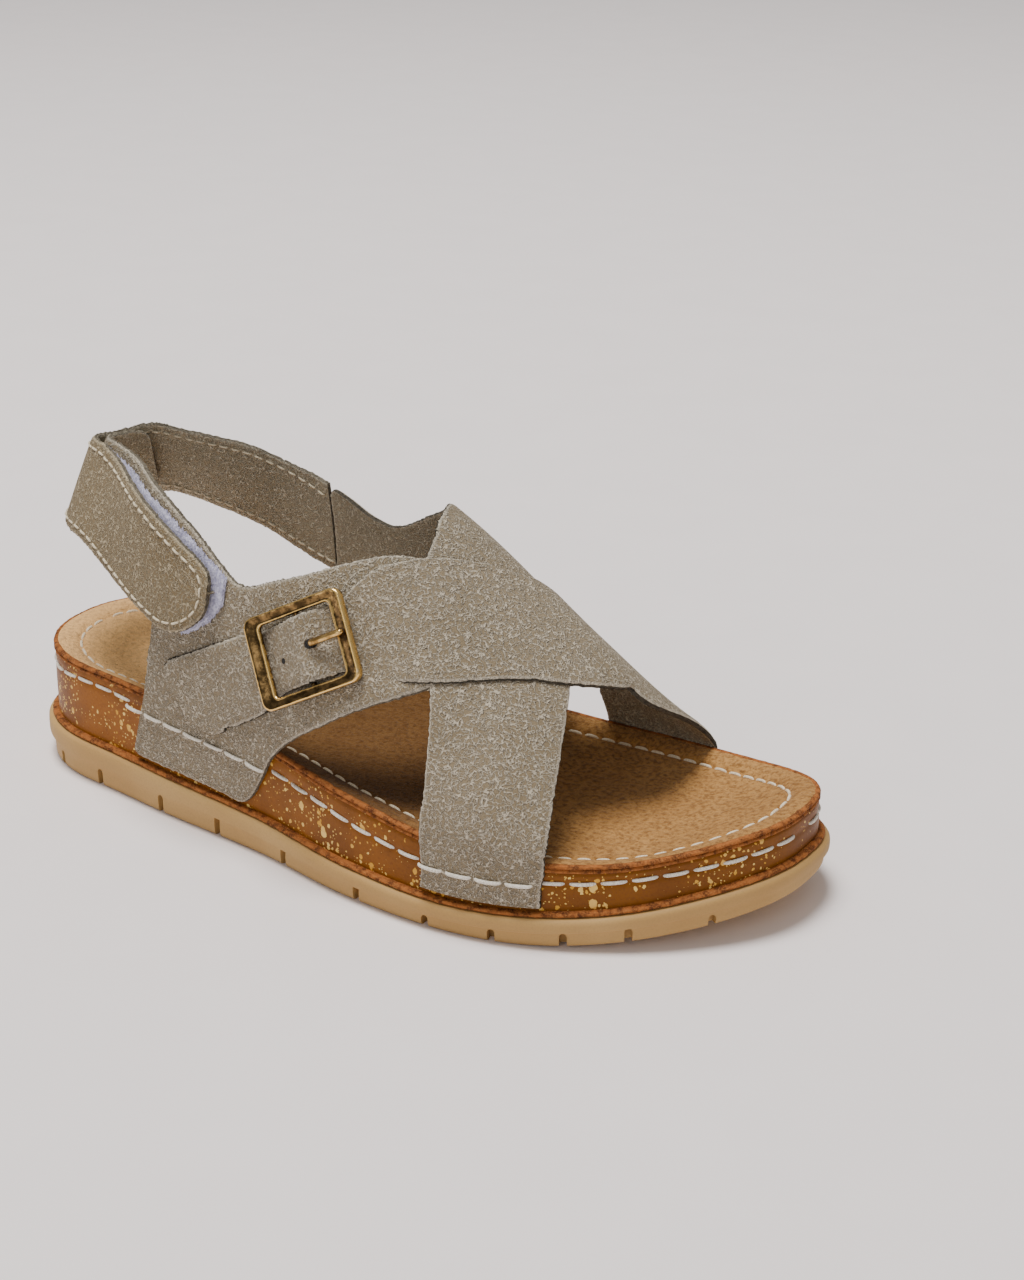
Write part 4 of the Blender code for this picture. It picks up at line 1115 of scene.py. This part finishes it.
def brass(name, low, high):
    """Antique brass: dark brown in the faces, worn to gold on the ridges; the same attribute carries a
    painted reflection that makes the buckle's front bar paler.
    """
    made, tree, shader, place = start_material(name, 0.30, 1.0)
    mottle = cloud(tree, place, 330.0, 5.0, 0.68)
    fine = cloud(tree, place, 1500.0, 3.0, 0.6)
    # real wear on the ridges plus the painted reflection of the front bar
    wear_and_reflection = add(tree, "ShaderNodeAttribute", attribute_name="wear_and_reflection").outputs["Fac"]
    worn = calc(tree, 'ADD', wear_and_reflection, calc(tree, 'MULTIPLY', calc(tree, 'SUBTRACT', mottle, 0.5), 2.0))
    colour = blend(tree, fit(tree, mottle, 0.40, 0.66), low, high)
    colour = blend(tree, fit(tree, worn, 0.40, 0.90), colour, rgb(240, 200, 124))
    # palest where the wear and the front bar's painted reflection are highest
    colour = blend(tree, fit(tree, worn, 1.25, 1.7), colour, rgb(246, 224, 190))
    tree.links.new(colour, shader.inputs["Base Color"])
    tree.links.new(fit(tree, mottle, 0.3, 0.7, 0.38, 0.16), shader.inputs["Roughness"])
    set_bump(tree, shader, (mottle, 0.00010), (fine, 0.00003))
    return made


def thread(name, base, dark):
    return layered(name, 0.8, 0.5, base, (((2400.0, 2.0, 0.6), 0.35, 0.7, 1.0, dark),), ((0, 0.00015),))


def pile(name):
    """Short lavender pile of the fastening tape."""
    layers = (((1500.0, 3.0, 0.75, 0.6), 0.30, 0.66, 1.0, rgb(222, 220, 240)),
              ((420.0, 2.0, 0.6), 0.42, 0.72, 0.45, rgb(120, 116, 150)))
    return layered(name, 0.95, 0.10, rgb(150, 146, 182), layers, ((0, 0.0006), (1, 0.0003)), 0.4)


def floor_material():
    made, tree, shader, place = start_material("floor_pale", 0.95)
    fine = cloud(tree, place, 30.0, 2.0)
    shade = tuple(v * 0.985 for v in FLOOR_TONE[:3]) + (1.0,)
    tree.links.new(blend(tree, fit(tree, fine, 0.3, 0.7), FLOOR_TONE, shade), shader.inputs["Base Color"])
    shader.inputs["Specular IOR Level"].default_value = 0.0
    return made


# Camera and light

FLOOR_TONE = rgb(247, 240, 240)
FLOOR_REACH = 9.0
WORLD_TINT = (1.0, 0.985, 0.97, 1.0)
WORLD_LIGHT = 0.36
LIGHT_AIM = (0.0, 0.0, 0.03)
# name, place, size, power and colour
LIGHTS = (("key", (-0.30, -0.15, 2.8), 1.2, 96.0, (1.0, 0.98, 0.95)),
          ("fill", (0.5, -2.4, 1.3), 1.6, 9.0, (1.0, 0.99, 0.98)))
CAMERA_LENS = 62.89
CAMERA_PLACE = (0.35626, -0.48165, 0.31559)
# the camera's right, up and back
CAMERA_AXES = ((0.83478235, 0.55057803, 0.00150559), (-0.2193444, 0.33005771, 0.91812305),
               (0.50500145, -0.76676316, 0.39629256))


def build_camera():
    data = bpy.data.cameras.new("camera")
    data.lens = CAMERA_LENS
    data.sensor_width = 36
    data.clip_start = 0.01
    obj = link_new("camera", data)
    place = Matrix(CAMERA_AXES).transposed().to_4x4()
    place.translation = CAMERA_PLACE
    obj.matrix_world = place
    bpy.context.scene.camera = obj


def add_light(name, place, size, power, colour):
    data = bpy.data.lights.new(name, 'AREA')
    data.shape = 'DISK'
    data.size = size
    data.energy = power
    data.color = colour
    obj = link_new(name, data)
    obj.location = place
    obj.rotation_euler = (Vector(LIGHT_AIM) - Vector(place)).to_track_quat('-Z', 'Y').to_euler()


def build_stage():
    bm = bmesh.new()
    corners = ((-1, -1), (1, -1), (1, 1), (-1, 1))
    bm.faces.new([bm.verts.new((FLOOR_REACH * x, FLOOR_REACH * y, 0)) for x, y in corners])
    mesh = bpy.data.meshes.new("floor")
    bm.to_mesh(mesh)
    bm.free()
    mesh.materials.append(floor_material())
    obj = link_new("floor", mesh)
    world = bpy.data.worlds.new("studio")
    world.use_nodes = True
    shade = world.node_tree.nodes["Background"]
    shade.inputs[0].default_value = WORLD_TINT
    shade.inputs[1].default_value = WORLD_LIGHT
    bpy.context.scene.world = world
    for light in LIGHTS:
        add_light(*light)


# Pieces

def build_outsole():
    loops = []
    for out, share, more in OUTSOLE_PROFILE:
        def high(station, share=share, more=more):
            low = tread_at(station)
            return low + (lip_at(station) - low) * share + more
        loops.append(loop_points(out, high))
    tread = cap_grid(loops[0], 14, lambda x, y: tread_at(x / SOLE_LENGTH + 0.5))
    top = cap_grid(loops[-1], 6, lambda x, y: lip_at(x / SOLE_LENGTH + 0.5))
    sole = shell("outsole_rubber", loops, (tread, top), [rubber("rubber_tan")], angle=50)
    cutters = bmesh.new()
    for station, height in zip(NOTCHES, NOTCH_HEIGHTS):
        for side in (-1, 1):
            add_notch(cutters, station, side, height)
    for station in GROOVES:
        add_groove(cutters, station)
    bmesh.ops.translate(cutters, verts=cutters.verts, vec=ORIGIN)
    bmesh.ops.recalc_face_normals(cutters, faces=cutters.faces)
    mesh = bpy.data.meshes.new("cuts")
    cutters.to_mesh(mesh)
    cutters.free()
    cutter = link_new("cuts", mesh)
    change = sole.modifiers.new("cuts", 'BOOLEAN')
    change.operation = 'DIFFERENCE'
    change.solver = 'EXACT'
    change.object = cutter
    bpy.context.view_layer.update()
    result = bpy.data.meshes.new_from_object(sole.evaluated_get(bpy.context.evaluated_depsgraph_get()))
    sole.modifiers.clear()
    sole.data = result
    result.set_sharp_from_angle(angle=math.radians(40))
    bpy.data.objects.remove(cutter, do_unlink=True)
    ride(sole, "outsole", "outsole")


def add_notch(bm, station, side, height):
    """Slot with a round top in the lower band, seen from the side."""
    x, y, nx, ny = [float(v) for v in edge_at(float(way_of(station, side)) * side)]
    base = float(tread_at(station)) - 0.002
    outward = Vector((nx, ny, 0))
    along = Vector((-ny, nx, 0))
    start = Vector((x, y, 0)) + outward * (BAND_OUT + 0.0013)
    profile = [(-NOTCH_WIDTH / 2, base), (NOTCH_WIDTH / 2, base)]
    top = base + 0.002 + height - NOTCH_WIDTH / 2
    for step in range(9):
        angle = math.pi * step / 8
        profile.append((math.cos(angle) * NOTCH_WIDTH / 2, top + math.sin(angle) * NOTCH_WIDTH / 2))
    add_prism(bm, start, along, -outward, profile, NOTCH_DEPTH + 0.0013)


def add_groove(bm, station):
    """Shallow groove across the tread between two notches."""
    x = float((station - 0.5) * SOLE_LENGTH)
    low = float(tread_at(station))
    sizes = section(station)
    wide = NOTCH_WIDTH * 0.9
    profile = [(-wide / 2, low - 0.002), (wide / 2, low - 0.002),
               (wide / 2 * 0.6, low + GROOVE_DEPTH), (-wide / 2 * 0.6, low + GROOVE_DEPTH)]
    reach = 0.72 * float(sizes[1])
    start = Vector((x, float(sizes[0]) - reach, 0))
    add_prism(bm, start, Vector((1, 0, 0)), Vector((0, 1, 0)), profile, 2 * reach)


def add_prism(bm, start, along, depth, profile, length):
    near = [bm.verts.new(start + along * a + Vector((0, 0, z))) for a, z in profile]
    far = [bm.verts.new(v.co + depth * length) for v in near]
    bm.faces.new(near)
    bm.faces.new(far[::-1])
    for k in range(len(near)):
        n = (k + 1) % len(near)
        bm.faces.new((near[k], far[k], far[n], near[n]))


def seam_height(station):
    table = np.array(SIDE_SEAM)
    return rim_at(station) - np.interp(station, table[:, 0], table[:, 1]) / 1000


def side_out(station, high):
    """How far the midsole's side stands out: a little flare at the foot, a dip along the stitching."""
    low = lip_at(station)
    share = np.clip((high - low) / (rim_at(station) - low), 0, 1)
    dip = np.exp(-((high - seam_height(station)) / 0.0011) ** 2)
    return 0.0004 * (1 - share) ** 2 + 0.0003 * np.sin(share * math.pi) - 0.0004 * dip


def side_loop(high):
    return loop_points(lambda s: side_out(s, high(s)), high)


def roughened(loop, size, feature, seed):
    noise = wave(loop, feature, seed)[:, None]
    lift = wave(loop, feature, seed + 11)[:, None]
    away = np.zeros_like(loop)
    away[:, :2] = loop[:, :2] - loop[:, :2].mean(0)
    return loop + unit(away) * noise * size + np.array((0, 0, 1.0)) * lift * size * 0.7


def rough_bead(name, profile, level, size, feature, seeds, material, slot):
    """Closed raw edge all round the sole. profile: out and up from the level."""
    loops = []
    for k, (out, up) in enumerate(profile):
        loop = loop_points(out, lambda s: level(s) + up)
        hidden = k in (0, len(profile) - 1)
        loops.append(roughened(loop, 0.0 if hidden else size, feature, seeds[k]))
    loops.append(loops[0])
    ride(shell(name, loops, (None, None), [material], angle=70), slot)


def build_midsole():
    loops = [loop_points(0.0002, lambda s: lip_at(s) + FIT_GAP)]
    for share in np.concatenate((np.linspace(0.02, 0.40, 6), np.linspace(0.44, 0.86, 16), (0.90, 0.94))):
        def high(station, share=share):
            low = lip_at(station) + FIT_GAP
            return low + (rim_at(station) - INSOLE_EDGE - low) * share
        loops.append(side_loop(high))
    loops.append(loop_points(-0.0004, lambda s: rim_at(s) - INSOLE_EDGE + 0.0001))
    top = cap_grid(loops[-1], 10, lambda x, y: footbed(x, y) - INSOLE_EDGE - FIT_GAP)
    bottom = cap_grid(loops[0], 4, None)
    piece = shell("midsole_wrap", loops, (bottom, top), [flecked("wrap_flecked")])
    ride(piece, "midsole", "midsole")
    edge = raw_rim("raw_edge")
    rough_bead("welt_edge", WELT_PROFILE, lip_at, 0.00022, 0.0018, range(7), edge, "midsole")
    seeds = [20 + k // 2 for k in range(12)]
    rough_bead("rim_edge", RIM_PROFILE, rim_at, 0.00016, 0.0016, seeds, edge, "insole")


def bed_height(inset):
    """Height change over the footbed by the distance from its edge: rolled rim, stitched groove."""
    roll = 0.0005 * math.sin(min(inset / INSOLE_SEAM, 1) * math.pi)
    groove = 0.0007 * math.exp(-((inset - INSOLE_SEAM) / 0.0009) ** 2)
    return roll - groove - 0.0002 * math.exp(-(inset / 0.0006) ** 2)


def bed_loop(inset):
    loop = loop_points(-inset, 0.0)
    loop[:, 2] = footbed(loop[:, 0], loop[:, 1]) + bed_height(inset)
    return loop


def build_insole():
    loops = [bed_loop(inset) for inset in BED_INSETS]
    under = loops[0] - np.array((0, 0, 0.0016))
    last = cap_grid(loops[-1], 44, footbed)
    piece = shell("insole_suede", [under] + loops, (None, last), [footbed_suede("suede_tan")])
    ride(piece, "insole", "insole")
    line = loop_points(-INSOLE_SEAM, 0.0)
    line[:, 2] = footbed(line[:, 0], line[:, 1]) + bed_height(INSOLE_SEAM) + 0.00012
    line = np.concatenate((line, line[:1]))
    up = np.repeat(np.array(((0, 0, 1.0),)), len(line), 0)
    cream = thread("thread_insole", rgb(244, 232, 208), rgb(214, 194, 160))
    tube(dashes(line, up, *INSOLE_STITCH), 8, "insole_stitches", [cream], "insole")


def seam_lift(side, station):
    """The stitching's height over the midsole: it climbs over the straps' feet."""
    for which, low, high in STRAP_FEET:
        if which == side and low < station < high:
            return STRAP_THICK + FIT_GAP + 0.0004
    return 0.0


def build_side_stitches():
    white = thread("thread_white", rgb(238, 232, 220), rgb(200, 190, 172))
    paths = []
    for side in (-1, 1):
        way = np.linspace(0.0, EDGE[side][0][-1], 1200) * side
        x, y, nx, ny = edge_at(way)
        station = x / SOLE_LENGTH + 0.5
        high = seam_height(station)
        out = side_out(station, high) + 0.0001
        line = np.stack((x + nx * out, y + ny * out, high), -1)
        up = np.stack((nx, ny, np.zeros(len(nx))), -1)
        for points, thick, normal in dashes(line, up, SIDE_DASH, SIDE_GAP, THREAD_RADIUS, 0.002):
            middle = points[4][0] / SOLE_LENGTH + 0.5
            rise = seam_lift(side, middle)
            paths.append((points + normal * rise, thick, normal))
    tube(paths, 10, "side_stitches", [white], "midsole")


def build_upper(finish, edge):
    instep = np.array(INSTEP_STRAP, float)
    piece = strap("instep_strap", over_foot, 1.0, instep, np.full(len(instep), FIT_GAP), STRAP_THICK, finish,
                  300, 0.0013, seed=3)
    ride(piece, "upper", "upper")
    quarter = np.array(OUTER_QUARTER, float) * np.array((SOLE_LENGTH, TOP_HEIGHT, SOLE_LENGTH, TOP_HEIGHT))
    lifts = FIT_GAP + 0.0003 * ease(8.0, 2.0, np.arange(len(quarter)))
    piece = strap("outer_quarter", round_heel, -1.0, quarter, lifts, STRAP_THICK, finish[:2] + [edge],
                  300, 0.0013, seed=4)
    ride(piece, "upper", "upper")
    cross = cross_rows(28)
    piece = strap("cross_strap", over_foot, 1.0, cross[:, :4], cross[:, 4] * STRAP_THICK, STRAP_THICK, finish,
                  340, 0.0012, seed=5, relief=buckle_relief)
    ride(piece, "upper", "upper")


def buckle_relief(base, way, share):
    """Takes the strap's twist out under the buckle."""
    return ((flat_under_buckle(base) - base) * np.array(buckle_frame()[3])).sum(-1)


def heel_edges(table):
    data = np.array(table, float)
    edges = np.stack((data[:, 0] * SOLE_LENGTH, data[:, 1] * TOP_HEIGHT,
                      data[:, 0] * SOLE_LENGTH, data[:, 2] * TOP_HEIGHT), 1)
    return data, edges


def inset_outline(table, inset):
    """Way and height of a line inside a heel strap's outline, from one end round to the other."""
    data = np.array(table, float)
    way = data[:, 0] * SOLE_LENGTH
    top = np.stack((way, data[:, 2] * TOP_HEIGHT), 1)
    low = np.stack((way, data[:, 1] * TOP_HEIGHT), 1)[::-1]
    line = np.concatenate((top, low))
    step = ways_along(line)
    line = read_line(line, step, np.linspace(0, step[-1], 700))
    for _ in range(6):
        line[1:-1] = (line[:-2] + 2 * line[1:-1] + line[2:]) / 4
    along = unit(np.gradient(line, axis=0))
    return line + np.stack((-along[:, 1], along[:, 0]), 1) * inset


def sling_relief(base, way, share):
    """Soft creases across the strap where it turns round the inner heel."""
    out = np.zeros(way.shape)
    for middle, size, width in CREASES:
        lean = (share - 0.5) * CREASE_LEAN
        out += size * np.exp(-((way - middle + lean) / width) ** 2) * (0.4 + 0.6 * np.sin(share * math.pi))
    return out


def build_slingback(finish, edge):
    data, edges = heel_edges(SLING_SEAM + SLINGBACK[2:])
    piece = strap("slingback_band", round_heel, -1.0, edges, data[:, 3] * STRAP_THICK, SLING_THICK,
                  finish[:2] + [edge], 300, 0.0013, seed=6, plies=2, relief=sling_relief)
    ride(piece, "slingback", "slingback")
    line = inset_outline(SLINGBACK, 0.0024)
    order = np.argsort(data[:, 0])
    lift = np.interp(line[:, 0] / SOLE_LENGTH, data[order, 0], data[order, 3]) * STRAP_THICK
    cream = thread("thread_cream", rgb(226, 214, 188), rgb(186, 172, 144))
    base = round_heel(line[:, 0], line[:, 1])
    out = unit(lifted(round_heel, line[:, 0], line[:, 1], lift * 0 + 0.001, -1.0) - base)
    points = base + out * (lift + SLING_THICK + 0.00008)[:, None]
    paths = dashes(points, out, *SLING_STITCH)
    points = base + out * (lift - 0.00008)[:, None]
    seen = line[:, 0] > SLING_COVERED
    number = np.arange(len(seen))
    for part in (seen & (number < len(seen) / 2), seen & (number > len(seen) / 2)):
        paths += dashes(points[part], -out[part], *SLING_STITCH)
    tube(paths, 8, "slingback_stitches", [cream], "slingback")


def build_tapes():
    level = STRAP_THICK + 2 * FIT_GAP
    over = level + TAPE_THICK + FIT_GAP
    soft = pile("pile_lavender")
    for name, table, lift, seed, node in (("loop_pile", LOOP_TAPE, level, 7, "loop_tape"),
                                          ("hook_pile", HOOK_TAPE, over, 8, "hook_tape")):
        data, edges = heel_edges(table)
        piece = strap(name, round_heel, -1.0, edges, np.full(len(data), lift), TAPE_THICK,
                      [soft, soft, soft], 150, 0.0012, ragged=0.00035, seed=seed)
        ride(piece, node, node)


def place_on(centre, along, across, out, a, b, high):
    return np.array(centre) + np.array(along) * a + np.array(across) * b + np.array(out) * high


def prong_level():
    """Height of the prong's middle where it lies over the strap and the frame."""
    strap_top = strap_surface(STRAP_THICK)
    below = (strap_top[:, 0] > PRONG_ROOT) & (strap_top[:, 0] < BUCKLE_LENGTH / 2)
    below &= np.abs(strap_top[:, 1] - PRONG_SIDE) < 2 * PRONG_RADIUS
    return max(buckle_levels()[0] + BUCKLE_THICK, strap_top[below, 2].max()) + PRONG_RADIUS + FIT_GAP


def build_buckle():
    centre, along, across, out = buckle_frame()
    metal = brass("brass_antique", rgb(64, 50, 30), rgb(136, 108, 68))
    worn = brass("brass_worn", rgb(150, 116, 66), rgb(226, 188, 120))
    base, levels = buckle_levels()
    loops = []
    wear_and_reflection_rows = []
    for share, high, wear_and_reflection in BUCKLE_PROFILE:
        length = BUCKLE_LENGTH - 2 * SIDE_BAR * share
        width = BUCKLE_WIDTH - 2 * END_BAR * share
        radius = BUCKLE_ROUND[0] + (BUCKLE_ROUND[1] - BUCKLE_ROUND[0]) * share
        outline = rounded_box_loop(length, width, radius, 8)
        loops.append(np.array([place_on(centre, along, across, out, a, b, base + high) for a, b in outline]))
        loop = rounded_box_loop(length, BUCKLE_WIDTH, BUCKLE_ROUND[0], 8)
        # real wear on the ridges, plus the painted reflection on the front bar
        wear_and_reflection_rows.append([wear_and_reflection + FRONT_BAR_REFLECTION * float(a > 0.35 * BUCKLE_LENGTH) for a, b in loop])
    loops.append(loops[0])
    wear_and_reflection_rows.append(wear_and_reflection_rows[0])
    piece = shell("buckle_rim", loops, (None, None), [metal], values={"wear_and_reflection": wear_and_reflection_rows}, angle=75)
    ride(piece, "buckle", "buckle_frame")
    reach = BUCKLE_WIDTH / 2 - END_BAR / 2
    turn = 2 * CENTRE_BAR_RADIUS
    bend = ((-reach, base + CENTRE_BAR_RADIUS), (-reach + turn * 0.2, base - turn * 0.1),
            (-reach + turn, levels[0]), (0.0, sum(levels) / 2), (reach - turn, levels[1]),
            (reach - turn * 0.2, base - turn * 0.1), (reach, base + CENTRE_BAR_RADIUS))
    line = np.array([place_on(centre, along, across, out, 0.0, b, h) for b, h in bend])
    up = np.repeat(np.array((tuple(along),)), len(line), 0)
    tube([(line, np.full(len(line), CENTRE_BAR_RADIUS), up)], 16, "buckle_bar", [metal], "buckle")
    end = BUCKLE_LENGTH / 2
    over = prong_level()
    rise = over - sum(levels) / 2
    heights = ((PRONG_ROOT, over - rise), (PRONG_ROOT + 0.0001, over - rise * 0.20),
               (PRONG_ROOT + 0.0005, over - rise * 0.08), (PRONG_ROOT + 0.0014, over - rise * 0.02),
               (PRONG_ROOT + 0.0035, over), (end - SIDE_BAR * 0.75, over),
               (end - SIDE_BAR * 0.50, over - 0.0001), (end - SIDE_BAR * 0.25, over - 0.0003))
    knots = np.array(heights)
    fine = smooth_columns(np.arange(len(knots), dtype=float), knots, np.linspace(0, len(knots) - 1, 40))
    line = np.array([place_on(centre, along, across, out, a, PRONG_SIDE, h) for a, h in fine])
    up = np.repeat(np.array((tuple(across),)), len(line), 0)
    radii = PRONG_RADIUS * np.interp(np.linspace(0, 1, 40), (0, 0.7, 0.93, 1.0), (1.0, 1.0, 0.85, 0.45))
    tube([(line, radii, up)], 16, "buckle_tongue", [worn], "buckle", ("buckle_prong",))


def strap_spot(along_share, across_share, high):
    centre, along, across, out = buckle_frame()
    point = place_on(centre, along, across, out, along_share, across_share, high)
    return tuple(shift(point))


def sole_middle():
    """Moves the middle of the outsole's box to the origin."""
    stations = (1 - np.cos(np.linspace(0.05, math.pi - 0.05, 34))) / 2
    sides = []
    for side in (-1, 1):
        x, y, nx, ny = edge_at(way_of(stations, side) * side)
        sides.append(np.stack((x + nx * LIP_OUT, y + ny * LIP_OUT), -1))
    points = np.concatenate(sides)
    middle = (points.min(0) + points.max(0)) / 2
    return np.array((-middle[0], -middle[1], 0.0))


ORIGIN = sole_middle()

build_camera()
build_stage()
# punched holes, shown only as painted shade in the nubuck's colour
holes = [(strap_spot(PRONG_ROOT + k * 0.0006, PRONG_SIDE, 0.0056), 0.0015) for k in (-2, -1, 0)]
spare = [(strap_spot(-0.0072, -0.0010, 0.0039), 0.0009)]
# each nubuck's second colour is its painted highlight on ridges and cut edges; its third is its darker tone
# and the painted shade between ridges
worm = nubuck("nubuck_greige", rgb(208, 190, 162), rgb(246, 234, 212), rgb(110, 92, 60), 660.0, 0.0030,
              holes + spare)
smooth = nubuck("nubuck_fine", rgb(176, 156, 122), rgb(214, 198, 166), rgb(98, 80, 48), 680.0, 0.0016)
# nubuck of the inner faces, made paler than the outer faces as painted light on their shade
lining_painted_light = nubuck("nubuck_lining_painted_light", rgb(226, 216, 190), rgb(246, 238, 216), rgb(146, 132, 104), 660.0, 0.0024)
edge_dark = cut_edge("cut_edge_dark", rgb(106, 98, 84), rgb(44, 42, 38))
edge_pale = cut_edge("cut_edge_pale", rgb(146, 138, 122), rgb(70, 64, 54))
build_outsole()
build_midsole()
build_insole()
build_side_stitches()
build_upper([worm, lining_painted_light, edge_dark], edge_pale)
build_slingback([smooth, lining_painted_light], edge_pale)
build_tapes()
build_buckle()
